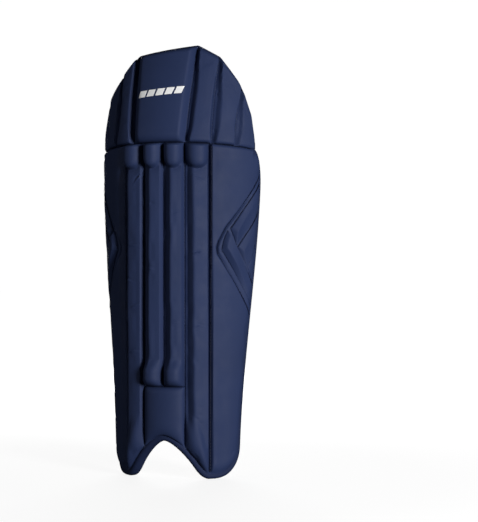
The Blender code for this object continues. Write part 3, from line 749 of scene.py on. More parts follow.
def bolster(x, low, high, to_head, to_foot, capped_foot):
    """Depth of one bolster above its seams: x is the place between its two seams."""
    width = high - low
    t = 2.0 * (x - low) / width - 1.0
    left_wall = wall(x - low - VALLEY_LEFT, WALL_TO_LEFT)
    flat_top = soft_min(left_wall, wall(high - x - VALLEY, WALL_TO_RIGHT), 0.15)
    past_crest = t - TOP_CREST
    fall = TOP_SLOPE * 0.5 * (past_crest + np.sqrt(past_crest**2 + 0.03))
    flat_top = np.maximum(flat_top, 0.0) * (1.0 - fall)
    round_top = dome(t, 2.6)
    strip = (BOLSTER_FACE - SEAM_FACE) * flat_top
    full = (CUP_FACE - SEAM_FACE) * round_top
    rim = CUP_LENGTH - CUP_CORNER * np.abs(t) ** 2.6
    below_rim = to_head - rim
    strip = strip * (1.0 - NECK_SHARE * np.exp(-np.maximum(below_rim, 0.0) / NECK_LENGTH))
    cup = 1.0 - smooth(below_rim / CUP_STEP)
    cup_height = full * edge_round(to_head, HEAD_ROLL) * mix(0.66, 1.0, edge_round(-below_rim, CUP_TIP))
    depth = mix(strip, cup_height, cup)
    bulb = 1.0 - smooth((to_foot - BULB_LENGTH) / BULB_FADE)
    if capped_foot:
        foot = full * 0.97 * edge_round(to_foot, FOOT_ROLL)
    else:
        foot_end = edge_round(to_foot - HEM_COVER, 1.2 * FOOT_ROLL)
        foot = (BOLSTER_FACE + 0.002 - SEAM_FACE) * round_top * foot_end
    return mix(depth, foot, bulb)


def from_segment(x, z, first, last):
    """Distance from a straight line between two places, as (across, up)."""
    (x0, z0), (x1, z1) = first, last
    along = (x - x0) * (x1 - x0) + (z - z0) * (z1 - z0)
    share = np.clip(along / ((x1 - x0) ** 2 + (z1 - z0) ** 2), 0.0, 1.0)
    return np.hypot(x - mix(x0, x1, share), z - mix(z0, z1, share))


def rib_groove(x, z):
    """1 on the pressed line that runs round the front of the ribs, 0 away from it."""
    spots = [(angle * float(board_radius(height)), height) for angle, height in RIB_LINE]
    nearest = np.full(np.shape(x), 1.0)
    for first, last in zip(spots, spots[1:]):
        nearest = np.minimum(nearest, from_segment(np.abs(x), z, first, last))
    return bump(nearest, RIB_GROOVE_WIDTH)


def rib_bed(angle, z):
    """1 on the lowered ground between the ribs, 0 outside the pressed line."""
    angle = np.abs(angle)
    low, high = (np.interp(angle, *zip(*line)) for line in (RIB_LINE[2::-1], RIB_LINE[2:]))
    return smooth((z - low) / RIB_BED_EDGE) * smooth((high - z) / RIB_BED_EDGE)


def wing_face(lane, z, x):
    beyond = np.abs(x) - OUTER_SEAM - VALLEY
    inward = np.maximum(wall(beyond, np.where(x > 0.0, WING_WALL_RIGHT, WING_WALL_LEFT)), 0.0)
    to_edge = EDGE_ANGLE * board_radius(z) - np.abs(x)
    head = lane_head(lane) - z
    top = edge_round(head, HEAD_ROLL)
    shoulder_roll = np.where(np.abs(lane) > 1.75, edge_round(head - HEM_COVER, 0.012), 1.0)
    foot = edge_round(foot_distance(lane, z) - HEM_COVER, 0.016)
    side = edge_round(to_edge - HEM_COVER, 0.011)
    hollow = 0.0012 * bump(beyond - 0.016, 0.010) * smooth((0.30 - z) / 0.2)
    rise = (WING_FACE - SEAM_FACE) * inward * top * mix(0.35, 1.0, foot) - hollow * foot
    angle = np.abs(lane_angle(lane, z))
    fade = 1.0 - smooth((angle - GROOVE_SINK[0]) / GROOVE_SINK[1])
    face = SEAM_FACE + rise - (RIB_GROOVE_DEPTH * rib_groove(x, z) + RIB_RECESS * rib_bed(angle, z)) * fade
    return mix(EDGE_FACE, face, np.minimum(np.minimum(side, foot), shoulder_roll))


CREASES = (
    # lane, height, length, slant, depth
    (0.72, 0.341, 0.012, 0.25, 0.00045),
    (0.80, 0.452, 0.015, -0.5, 0.0003),
    (-0.72, 0.352, 0.016, 0.10, 0.0004),
    (-0.80, 0.300, 0.012, -0.30, 0.0004),
    (-0.62, 0.262, 0.012, 0.35, 0.00035),
    (-0.25, 0.318, 0.010, -0.20, 0.0003),
    (0.24, 0.236, 0.010, 0.30, 0.0003),
    (-0.70, 0.192, 0.013, 0.15, 0.0004),
    (0.75, 0.232, 0.010, -0.15, 0.0003),
    (-0.55, 0.455, 0.014, 0.85, 0.0005),
    (0.30, 0.400, 0.009, 0.2, 0.0002),
    (-0.28, 0.415, 0.010, -0.35, 0.0003),
)


def creases(lane, z):
    """Fine folds that the leather keeps from use."""
    x, total = across(lane, z), 0.0
    for at_lane, height, length, slant, depth in CREASES:
        dx, dz = x - at_lane * OUTER_SEAM, z - height
        along = dx * math.cos(slant) + dz * math.sin(slant)
        off = dz * math.cos(slant) - dx * math.sin(slant) + 12.0 * along**2
        fold = bump(off, 0.0011) - 0.6 * bump(off - 0.0024, 0.0016)
        total = total + 2.8 * depth * bump(along, length * 0.6) * fold
    return total


def shin_face(lane, z):
    x = across(lane, z)
    to_head = lane_head(lane) - z
    to_foot = foot_distance(lane, z)
    depth = np.full(np.shape(x), 0.0)
    for low, high, inner in (
        (-OUTER_SEAM, -INNER_SEAM, False),
        (-INNER_SEAM, 0.0, True),
        (0.0, INNER_SEAM, True),
        (INNER_SEAM, OUTER_SEAM, False),
    ):
        rise = bolster(x, low, high, to_head, z - BOLSTER_FOOT if inner else to_foot, inner)
        depth = np.where((x >= low) & (x <= high), SEAM_FACE + np.maximum(rise, 0.0), depth)
    t = x / INNER_SEAM
    crown = 0.50 * dome(t, 2.2) + 0.50 * dome(t, 9.0)
    head, foot = edge_round(BOLSTER_FOOT - z, 0.010), edge_round(to_foot - HEM_COVER, 0.018)
    instep = SEAM_FACE + (INSTEP_FACE - SEAM_FACE) * crown * head * mix(0.25, 1.0, foot)
    depth = np.where((np.abs(x) <= INNER_SEAM) & (z <= BOLSTER_FOOT), instep, depth)
    depth = mix(EDGE_FACE, depth, smooth((to_foot - 0.7 * HEM_COVER) / (0.5 * HEM_COVER)))
    depth = np.where(np.abs(lane) > 1.0, wing_face(lane, z, x), depth)
    seam_line = 1.7 * bump(np.abs(x) - OUTER_SEAM, 0.0015) + bump(np.abs(x) - INNER_SEAM, 0.0011)
    seam_line = seam_line + bump(x, 0.0009) * (z > BOLSTER_FOOT)
    instep_line = bump(z - BOLSTER_FOOT, 0.0009) * (np.abs(x) < INNER_SEAM)
    inside = smooth((to_foot - HEM_COVER) / 0.003)
    return depth + (creases(lane, z) - SEAM_GROOVE * np.clip(seam_line + instep_line, 0.0, 1.7)) * inside


def shin_lanes():
    """Lanes for the navy face, with lines on its seams."""
    fine = 0.0007 / OUTER_SEAM
    inner = lines(-1.1, 1.1, FINE / OUTER_SEAM, SEAM_LANES, fine)
    wing = lines(1.1, 2.0, FINE / WING_SPAN, (1.965,), 0.006)[1:]
    return np.concatenate([-wing[::-1], inner, wing])


def shin_rows():
    """Rows for the navy face, closer together at the hem, the instep's seam and the head."""
    low = lines(0.0, 1.0, FINE / 0.110, (0.045,), 0.012)
    middle = lines(1.0, 2.0, FINE / (HIGH_ROW - LOW_ROW), (float(level_row(BOLSTER_FOOT)),), 0.0023)[1:]
    high = lines(2.0, 3.0, FINE / 0.083, (2.93,), 0.010)[1:]
    return np.concatenate([low, middle, high])


FACE_NODES = ["shin_cover", "instep_foam", "wing_foam_left", "wing_foam_right"]
FACE_NODES += [f"bolster_{which}_{hand}" for which in ("inner", "outer") for hand, _side in HANDS]


def held_still(lane, row):
    """The hem and the instep panel, which the leather is drawn tight over."""
    instep = (np.abs(lane) < INNER_LANE) & (row < float(level_row(BOLSTER_FOOT)))
    return (np.abs(lane) > 1.9) | (row < 0.1) | instep


def build_shin_face(finish):
    skin = Skin(shin_lanes(), shin_rows(), shin_face)
    settle(skin, (OUTER_SEAM, 0.15), SEAM_LANES, held_still, LEATHER, SHIN_LIMIT)
    back = Skin(skin.columns, skin.rows, BED).points
    stuffed("shin_face", "shin", "navy_cover", FACE_NODES, skin.points, back, finish, skin.flat)
    return skin


def groove_shade_ribbon(name, skin, side, corners, wide, lift, finish):
    """A dark strip along the wing through corners given as (angle, height): painted shade in a groove."""
    spots = evened(np.array([(angle * float(board_radius(z)), z) for angle, z in corners]), TAPE_STEP)
    out = steps_out(spots)
    nets = []
    for above in (lift, lift - 0.0002):
        across_line = [spots + out * off for off in np.linspace(-0.5 * wide, 0.5 * wide, 5)]
        x, z = np.moveaxis(np.stack(across_line, axis=0), -1, 0)
        lane = lane_of(x / board_radius(z), z)
        nets.append(skin.at(side * lane, row_of(lane, z), above))
    front, back = nets if side > 0.0 else (nets[0][::-1], nets[1][::-1])
    attach(slab(name, front, back, finish, np.stack([x, z], axis=-1)), "shin", "navy_binding")


def build_ribs(skin, finish, dark):
    """The raised chevron strips on both wings, and dark strips of painted groove shade along the seams round
    and between them.
    """
    outer = [(min(angle, RIB_LINE_END), z) for angle, z in RIB_LINE]
    for hand, side in HANDS:
        groove_shade_ribbon(f"wing_groove_shade_{hand}", skin, side, outer, 0.0017, 0.0005, dark)
        for k, (_low_front, front, _low_end, end) in enumerate(RIBS[:-1]):
            line = [front, (mix(front[0], end[0], 0.9), mix(front[1], end[1], 0.9))]
            groove_shade_ribbon(f"wing_rib_groove_shade_{hand}_{k + 1}", skin, side, line, 0.0012, 0.0013, dark)
        for k, corners in enumerate(RIBS):
            build_rib(f"wing_rib_{hand}_{k + 1}", side, corners, k == 0, skin, finish)


def build_rib(node, side, corners, long_one, skin, finish):
    """One strip. s runs from its front end to the side edge, and t from its lower to its upper edge."""
    (a0, z0), (a1, z1), (b0, y0), (b1, y1) = corners
    s, t = np.meshgrid(lines(0.0, 1.0, 0.014), lines(0.0, 1.0, 0.03), indexing="ij")
    length = 0.085 if long_one else 0.065
    if long_one:
        crest = soft_min(t / 0.32, 1.0, 0.12) * (1.0 - 0.35 * np.clip(t - 0.3, 0.0, 1.0))
        crest = soft_min(crest, (1.0 - t) / 0.06, 0.10)
        bow = 0.05 * (1.0 - t) ** 3.0
    else:
        crest = soft_min(0.05 + t / 0.60 * 0.95, 0.25 + (1.0 - t) / 0.40 * 0.75, 0.10)
        crest = soft_min(soft_min(crest, t / 0.04, 0.08), (1.0 - t) / 0.05, 0.10)
        bow = 0.0
    ends = soft_min(s * length / 0.006, (1.0 - s) * length / 0.004, 0.2)
    crest = np.clip(soft_min(crest, ends, 0.3), 0.0, 1.0)
    along = mix(bow, 1.0, s)
    angle = mix(mix(a0, a1, t), mix(b0, b1, t), along)
    z = mix(mix(z0, z1, t), mix(y0, y1, t), along)
    lane = np.clip(lane_of(angle, z), 1.0, 1.985)
    row = row_of(lane, z)
    base = skin.at(side * lane, row, RIB_GAP)
    lift = RIB_THICKNESS * mix(1.0, 0.08, smooth((angle - RIB_SINK[0]) / RIB_SINK[1]))
    top = skin.at(side * lane, row, RIB_GAP + lift * (0.06 + 0.94 * crest))
    flat = unrolled(side * angle, z)
    if side < 0.0:
        top, base, flat = top[::-1], base[::-1], flat[::-1]
    attach(slab(f"{node}_skin", top, base, finish, flat, 50.0), "shin", "navy_cover", node)


# ======== Rolled edges ========


def steps_out(points):
    """Unit steps out of a flat outline of (across, up) points, square to it."""
    ahead = np.roll(points, -1, axis=0) - np.roll(points, 1, axis=0)
    ahead[0], ahead[-1] = points[1] - points[0], points[-1] - points[-2]
    ahead /= np.linalg.norm(ahead, axis=1, keepdims=True)
    return np.stack([-ahead[:, 1], ahead[:, 0]], axis=1)


def lengths_along(points):
    """The distance along a line at each of its points."""
    return np.concatenate([[0.0], np.cumsum(np.linalg.norm(np.diff(points, axis=0), axis=1))])


def at_lengths(values, lengths, spots):
    """A line's values at other distances along it."""
    return np.stack([np.interp(spots, lengths, column) for column in values.T], axis=1)


def evened_to(points, count):
    """The same line with that many points, evenly apart."""
    lengths = lengths_along(points)
    return at_lengths(points, lengths, np.linspace(0.0, lengths[-1], count))


def evened(points, step):
    """The same line with points a step apart."""
    return evened_to(points, max(2, int(lengths_along(points)[-1] / step)) + 1)


def edge_roll(name, outline, profile, finish, gather=0.0):
    """A binding swept round an outline of (across, up). profile is its section as (reach out, depth)."""
    path = evened(outline, ROLL_STEP)
    out = steps_out(path)
    count = len(path)
    ripple = 1.0 + gather * np.sin(np.arange(count) * 1.7) * np.sin(np.arange(count) * 0.43)
    sections, flat = [], []
    for reach, depth in profile:
        spot = path + out * (reach * np.where(reach > 0, ripple, 1.0))[:, None]
        sections.append(place(spot[:, 0] / board_radius(spot[:, 1]), spot[:, 1], depth))
        flat.append(np.stack([np.arange(count) * ROLL_STEP, np.full(count, reach + depth)], axis=1))
    return swept(name, np.stack(sections, axis=1), finish, np.stack(flat, axis=1))


def shin_outline():
    """From the -X shoulder down the side, round the base and up to the +X shoulder, as (across, up)."""
    top = [(lane, 3.0) for lane in np.linspace(1.74, 1.995, 24)]
    side = [(2.0, row) for row in np.linspace(3.0, 0.0, 90)]
    base = [(lane, 0.0) for lane in np.linspace(1.995, -1.995, 300)]
    spots = top + side + base + [(-lane, row) for lane, row in reversed(top + side)]
    lane, row = np.array(spots).T
    z = row_height(lane, row)
    return unrolled(lane_angle(lane, z), z)


HEM_SECTION = (
    (-0.0052, 0.0048), (-0.0056, 0.0056), (-0.0050, 0.0066), (-0.0034, 0.0073), (-0.0012, 0.0074),
    (0.0010, 0.0067), (0.0024, 0.0050), (0.0031, 0.0026), (0.0032, -0.0005), (0.0031, -0.0040),
    (0.0026, -0.0068), (0.0014, -0.0084), (0.0002, -0.0086), (-0.0006, -0.0078), (-0.0006, -0.0064),
    (0.0003, -0.0056), (0.0003, 0.0040), (0.0002, 0.0047),
)


def build_hem(finish):
    made = edge_roll("edge_binding_roll", shin_outline(), HEM_SECTION, finish, 0.05)
    attach(made, "shin", "navy_binding", "edge_binding")


# ======== The knee flap ========


def knee_panels():
    """The seven panels from -X to +X: lower angle, upper angle, and which one it is from the middle."""
    seams = (*KNEE_SEAM_ANGLES, KNEE_EDGE_ANGLE)
    right = [(low, high, k + 1) for k, (low, high) in enumerate(zip(seams, seams[1:]))]
    left = [(-high, -low, k) for low, high, k in reversed(right)]
    return left + [(-seams[0], seams[0], 0)] + right


def knee_face(column, z, row):
    radius = board_radius(z)
    angle = knee_angle(column, row)
    to_foot, to_head = z - knee_seam(angle) - HINGE_GAP, knee_top(angle) - z
    depth = np.full(np.shape(column), SEAM_FACE)
    for low, high, which in knee_panels():
        first, last = knee_angle(low, row), knee_angle(high, row)
        foot_roll = 0.014 if which == 0 else 0.006
        slim = mix(0.45, 1.0, smooth(to_head / 0.07)) * mix(0.65, 1.0, smooth(to_foot / 0.03))
        walls = (0.013, 0.008) if which == 0 else (WALL_TO_LEFT * 0.7 * slim, WALL_TO_RIGHT * 1.5 * slim)
        valley = VALLEY if which == 0 else 0.9 * VALLEY_LEFT * slim
        left_wall = wall((angle - first) * radius - valley, walls[0])
        right_wall = wall((last - angle) * radius - VALLEY, walls[1])
        rise = np.maximum(soft_min(left_wall, right_wall, 0.15), 0.0)
        foot = mix(0.12 if which == 0 else 0.40, 1.0, edge_round(to_foot, foot_roll))
        head = mix(0.35, 1.0, edge_round(to_head, 0.007))
        t = (2.0 * angle - first - last) / (last - first)
        crown = 1.0 - 0.05 * t**2
        here = SEAM_FACE + (KNEE_FACES[which] - SEAM_FACE) * rise * foot * head * crown
        depth = np.where((column >= low) & (column <= high), here, depth)
    for seam in KNEE_SEAM_COLUMNS:
        depth = depth - KNEE_GROOVE * bump((angle - knee_angle(seam, row)) * radius, KNEE_GROOVE_WIDTH)
    side = edge_round((KNEE_SIDE_ANGLE - np.abs(angle)) * radius, 0.006)
    return mix(0.0065, depth, side)


KNEE_NODES = ["knee_cover", "knee_foam_centre"]
KNEE_NODES += [f"knee_foam_{which}_{hand}" for which in ("inner", "middle", "outer") for hand, _side in HANDS]


def build_knee_face(finish):
    wide, tall = KNEE_SPANS
    columns = lines(-KNEE_EDGE_ANGLE, KNEE_EDGE_ANGLE, FINE / wide, KNEE_SEAM_COLUMNS, 0.0056)
    skin = Skin(columns, lines(0.0, 1.0, FINE / tall, (0.03, 0.97), 0.006), knee_face, knee=True)
    settle(skin, KNEE_SPANS, KNEE_SEAM_COLUMNS, nowhere, LEATHER, KNEE_LIMIT)
    back = Skin(skin.columns, skin.rows, BED, knee=True).points
    stuffed("knee_face", "knee_flap", "navy_cover", KNEE_NODES, skin.points, back, finish, skin.flat)
    return skin


def knee_lining_face(column, z, row):
    radius = board_radius(z)
    angle = knee_angle(column, row)
    to_foot, to_head = z - knee_seam(angle) - HINGE_GAP, knee_top(angle) - z
    groove = 0.0
    for seam in KNEE_SEAM_COLUMNS:
        off = (angle - knee_angle(seam, row)) * radius
        groove = groove + 0.8 * bump(off, 0.0016) + 0.2 * bump(off, 0.008)
    t = column / KNEE_SEAM_ANGLES[0]
    crown = np.where(np.abs(t) < 1.0, 1.0 - 0.25 * np.abs(t) ** 3, 0.86)
    rolled = soft_min(to_head / 0.018, 1.0, 0.12)
    foot = edge_round(to_foot + 0.002, 0.008)
    side = edge_round((KNEE_SIDE_ANGLE - np.abs(angle)) * radius - 0.001, 0.010)
    full = crown * np.clip(rolled, 0.05, 1.0) * foot * side * (1.0 - 0.55 * np.clip(groove, 0.0, 1.0))
    return LINING_BED - mix(0.0025, KNEE_LINING_DEPTH, np.clip(full, 0.0, 1.0))


def build_knee_lining(finish):
    wide, tall = KNEE_SPANS
    edge = KNEE_EDGE_ANGLE - KNEE_LINING_INSET
    columns = lines(-edge, edge, LINING_STEP / wide, KNEE_SEAM_COLUMNS, 0.006)
    skin = Skin(columns, lines(0.01, 0.97, LINING_STEP / tall), knee_lining_face, knee=True)
    skin.side = -1.0
    settle(skin, KNEE_SPANS, KNEE_SEAM_COLUMNS, nowhere, LINING, KNEE_LINING_LIMIT)
    bed = Skin(skin.columns, skin.rows, LINING_BED, knee=True).points
    name, nodes = "knee_lining_pad", ["knee_lining"]
    stuffed(name, "knee_flap", "white_lining", nodes, bed, skin.points, finish, skin.flat)
    return skin


def knee_outline():
    up = np.linspace(0.0, 1.0, 12)
    left, right = ([(end, z) for z in knee_height(end, up)] for end in (-KNEE_SIDE_ANGLE, KNEE_SIDE_ANGLE))
    edge = KNEE_SIDE_ANGLE - 0.004
    top = [(angle, float(knee_top(angle))) for angle in np.linspace(-edge, edge, 240)]
    angle, z = np.array(left + top + right[::-1]).T
    return unrolled(angle, z)


KNEE_FRONT_SECTION = (
    (0.0003, 0.0000), (0.0031, 0.0000), (0.0031, 0.0030), (0.0026, 0.0052), (0.0014, 0.0068),
    (0.0003, 0.0072),
)
KNEE_BACK_SECTION = (
    (0.0003, -0.0003), (0.0003, -0.0068), (0.0005, -0.0084), (0.0012, -0.0085), (0.0019, -0.0070),
    (0.0022, -0.0040), (0.0022, -0.0003),
)


def build_knee_binding(hem, white):
    outline = knee_outline()
    front = edge_roll("knee_binding_front", outline, KNEE_FRONT_SECTION[::-1], hem)
    attach(front, "knee_flap", "navy_cover")
    back = edge_roll("knee_binding_back", outline, KNEE_BACK_SECTION[::-1], white, 0.08)
    attach(back, "knee_flap", "white_lining", "knee_binding")


def build_boards(finish):
    """The stiff sheets between the face and the lining."""
    for node, body, knee, edge, low, high, count in (
        ("shin_board", "shin", False, 1.96, 0.03, HEAD_ROW, 120),
        ("knee_board", "knee_flap", True, 1.06, 0.01, 0.98, 50),
    ):
        net = np.linspace(-edge, edge, 90), np.linspace(low, high, count)
        front, back = Skin(*net, 0.0, knee), Skin(*net, -BOARD_THICKNESS, knee)
        attach(slab(f"{node}_sheet", front.points, back.points, finish, front.flat), body, "board", node)


GUSSET_ANGLE = 1.07
GUSSET_REACH = 0.012


def build_gussets(navy, white):
    """Cloth across the knee seam, in front of and behind the boards."""
    span, reach = np.linspace(-GUSSET_ANGLE, GUSSET_ANGLE, 110), np.linspace(-GUSSET_REACH, GUSSET_REACH, 25)
    for name, finish, slot, front, depth in (
        ("knee_gusset_front", navy, "navy_cover", 0.0005, 0.0001),
        ("knee_gusset_back", white, "white_lining", -0.0027, -0.0030),
    ):
        angle, off = np.meshgrid(span, reach, indexing="ij")
        z = knee_seam(angle) + off
        made = slab(name, place(angle, z, front), place(angle, z, depth), finish, unrolled(angle, z))
        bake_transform(made)


# ======== The leg side ========


def pad_depth(lane, z, low, high, foot, head, depth, roundness, thin, roll):
    """Depth of a pad on the leg side: full in the middle, thin at its rim, with rolled ends."""
    t = (2.0 * lane - low - high) / (high - low)
    at_foot, at_head = (edge_round(distance + roll / 5.0, roll) for distance in (z - foot, head - z))
    return LINING_BED - depth * mix(thin, 1.0, dome(t, roundness) * at_foot * at_head)


def gathers(lane, z, low, high, head, count, reach, depth, seed):
    """Short pleats under the seam at a pad's head."""
    chance = np.random.RandomState(seed)
    total = 0.0
    for k in range(count):
        at_lane = mix(low, high, (k + 0.5 + chance.uniform(-0.3, 0.3)) / count)
        length = reach * chance.uniform(0.6, 1.3)
        width = (high - low) / count * chance.uniform(0.10, 0.2)
        drift = chance.uniform(-0.25, 0.25) * (head - z)
        pleat = bump((lane - at_lane) * OUTER_SEAM - drift, width * OUTER_SEAM)
        total = total + chance.uniform(0.6, 1.0) * pleat * np.exp(-(head - z) / length)
    return depth * total


def lining_piece(node, sides, ends, shape, finish, slot, relief, step=LINING_STEP):
    """One pad on the leg side. ends give the heights of its foot and its head at a lane."""
    low, high = sorted(sides)
    wide, tall = LINING_SPANS
    lanes = lines(low, high, step / wide)
    rows = np.linspace(0.0, 1.0, int(tall / step / 1.6) if slot != "white_mesh" else int(0.12 / step))
    lane, up = np.meshgrid(lanes, rows, indexing="ij")
    bottom, top = (end(lane) for end in ends)
    z = mix(bottom, top, up)
    inner = pad_depth(lane, z, low, high, bottom, top, *shape) + relief(lane, z, top)
    angle = lane_angle(lane, z)
    skin = held_net(lanes, rows, place(angle, z, inner))
    if slot != "white_mesh":
        settle(skin, (OUTER_SEAM, tall), (), nowhere, LINING, LINING_LIMIT)
    bed, flat = place(angle, z, LINING_BED), unrolled(angle, z)
    stuffed(f"{node}_pad", "shin", slot, [node], bed, skin.points, finish, flat)
    return skin


def held_net(columns, rows, points):
    """A skin of the leg side, from points that are already worked out."""
    skin = Skin.__new__(Skin)
    skin.columns, skin.rows, skin.points, skin.side = np.asarray(columns), np.asarray(rows), points, -1.0
    return skin


def level(z):
    return lambda lane: np.full(np.shape(lane), z)


def build_lining(white, beige, mesh, coarse_mesh):
    centre, side_lane, gap = LINING_CENTRE_LANE, LINING_SIDE_LANE, LINING_GAP_LANE

    def head_at(row, drop=0.0, low=0.0, high=1.0, power=4.0):
        """The upper end: along that row, falling by drop towards the pad's outer corner."""
        return lambda lane: row_height(lane, np.full(np.shape(lane), row)) - drop * np.clip(
            (np.abs(lane) - low) / (high - low), 0.0, 1.0
        ) ** power

    def foot_at(z, rise, low, high):
        """The lower end: lowest in the middle of the pad and higher at its sides."""
        return lambda lane: z + rise * np.abs((2.0 * np.abs(lane) - low - high) / (high - low)) ** 2.6

    def pleats(low, high, count, reach, depth, seed):
        return lambda lane, z, top: gathers(lane, z, low, high, top, count, reach, depth, seed)

    # A shape is a pad's depth, its roundness, its share of depth at the rim, and the roll of its ends.
    lanes, ends = (-centre, centre), (level(LINING_FOOT), head_at(HEAD_ROW))
    shape, relief = (LINING_CENTRE_DEPTH, 7.0, 0.35, 0.009), pleats(-centre, centre, 6, 0.011, 0.0016, 3)
    middle = lining_piece("lining_bolster_centre", lanes, ends, shape, white, "white_lining", relief)
    for hand, side in HANDS:
        lanes = sorted((side * (centre + gap), side * side_lane))
        ends = foot_at(LINING_FOOT, 0.010, centre + gap, side_lane), head_at(HEAD_ROW, 0.010, 0.9, side_lane)
        shape, relief = (LINING_SIDE_DEPTH, 3.6, 0.30, 0.020), pleats(*lanes, 9, 0.007, 0.0008, 5)
        lining_piece(f"lining_bolster_{hand}", lanes, ends, shape, beige, "white_lining", relief)
        lanes = sorted((side * (side_lane + gap), side * LINING_EDGE_LANE))
        ends = level(LINING_FOOT + 0.002), head_at(HEAD_ROW, 0.004, side_lane, 2.0, 2.0)
        shape, relief = (LINING_EDGE_DEPTH, 4.0, 0.5, 0.010), pleats(*lanes, 5, 0.010, 0.0016, 7)
        lining_piece(f"lining_edge_{hand}", lanes, ends, shape, white, "white_lining", relief)
        lanes, ends = (side * (centre + gap), side * LINING_EDGE_LANE), (head_at(0.010), level(MESH_HEAD))
        shape, relief = (MESH_DEPTH, 5.0, 0.45, 0.009), diamonds(0.0060, 0.0033, 0.0004)
        lining_piece(f"instep_mesh_{hand}", lanes, ends, shape, mesh, "white_mesh", relief, 0.0011)
    lanes, shape, relief = (-centre, centre), (MESH_DEPTH, 6.0, 0.5, 0.008), diamonds(0.0078, 0.0040, 0.0007)
    lining_piece("instep_mesh_centre", lanes, ends, shape, coarse_mesh, "white_mesh", relief, 0.0009)
    build_backing(white)
    return middle


def build_backing(finish):
    """The cloth that the pads of the leg side are sewn to."""
    net = np.linspace(-1.95, 1.95, 80), np.linspace(0.03, HEAD_ROW, 110)
    front, back = Skin(*net, -0.0026), Skin(*net, -0.0029)
    made = slab("lining_backing", front.points, back.points, finish, front.flat)
    attach(made, "shin", "white_lining")
    p = front.points
    area = np.linalg.norm(np.cross(p[1:, :-1] - p[:-1, :-1], p[:-1, 1:] - p[:-1, :-1]), axis=-1).sum()
    wide, tall = 2.0 * 1.21 * BOARD_RADIUS_KNEE, KNEE_SEAM_HEIGHT
    area = float(min(area, wide * tall))


def diamonds(wide, high, depth):
    """Sunk diamond holes in rows, wide by high from middle to middle."""

    def hollow(lane, z, _top):
        u = lane_angle(lane, z) * board_radius(z)
        first, second = np.sin(math.pi * (u / wide + z / high)), np.sin(math.pi * (u / wide - z / high))
        return depth * smooth((np.abs(first * second) - 0.35) / 0.4)

    return hollow


# ======== Straps and rings ========


def wing_tip(side, z, front):
    """Just outside the edge binding at the side of the pad, at this depth."""
    beyond = (BINDING_WIDTH + 2.0 * GAP) / board_radius(z)
    p = place(side * (EDGE_ANGLE + beyond), z, front)
    return float(p[0]), float(p[1]) + STRAP_THICKNESS / 2.0 + 2.0 * GAP


def strap_places(height):
    """Where this strap's ring stands: the x of its two bars, and their y."""
    tip_x, tip_y = wing_tip(-1.0, height + STRAP_WIDTH / 2.0, BINDING_BACK)
    outer = tip_x / SPREAD + RING_FROM_TIP - RING_HALF_WIDTH
    return outer, outer + 2.0 * RING_HALF_WIDTH, tip_y + RING_BEHIND_TIP


def eye(bar_x, bar_y, way):
    """The sewn loop round a ring's bar, from the end of its tail to where the strap leaves it."""
    lay = (STRAP_THICKNESS + EYE_TAIL_GAP) / 2.0
    tail = [(mix(EYE_TAIL, 2.0 * EYE_RADIUS, k), lay * mix(1.0, 1.6, k**2)) for k in np.linspace(0.0, 1.0, 5)]
    turns = np.radians(np.linspace(60.0, 300.0, 25))
    loop = [(EYE_RADIUS * math.cos(turn), EYE_RADIUS * math.sin(turn)) for turn in turns]
    line = tail + loop + [(x, -y) for x, y in reversed(tail)]
    return [(bar_x + way * x, bar_y + y) for x, y in line]


def band(name, path, thickness, low, high, finish, edge=0.0007, wave=0.0):
    """A flat band standing on its edge along a line seen from above, with rounded selvedges."""
    line, other = (evened(np.array(path(z)), TAPE_STEP) for z in (low, high))
    count = min(len(line), len(other))
    line, other = evened_to(line, count), evened_to(other, count)
    out, length = steps_out(line), lengths_along(line)
    half = thickness / 2.0
    spots = [(low + edge * (1 - math.cos(a)), half * math.sin(a)) for a in np.radians((0.0, 45.0, 90.0))]
    spots += [(z, half) for z in np.linspace(low + 2.0 * edge, high - 2.0 * edge, 12)]
    spots += [(high - edge * (1 - math.cos(a)), half * math.sin(a)) for a in np.radians((90.0, 45.0, 0.0))]
    spots += [(z, -off) for z, off in reversed(spots[1:-1])]
    sections, flat = [], []
    for z, off in spots:
        share = (z - low) / (high - low)
        spot = mix(line, other, share) + out * off
        ripple = wave * np.sin(length * 900.0 + 5.0 * share) * (abs(off) < half * 0.9)
        sections.append(np.stack([spot[:, 0], spot[:, 1], np.full(count, z) + ripple], axis=1))
        flat.append(np.stack([length, np.full(count, high - z)], axis=1))
    return swept(name, np.stack(sections, axis=1), finish, np.stack(flat, axis=1), crease=60.0)


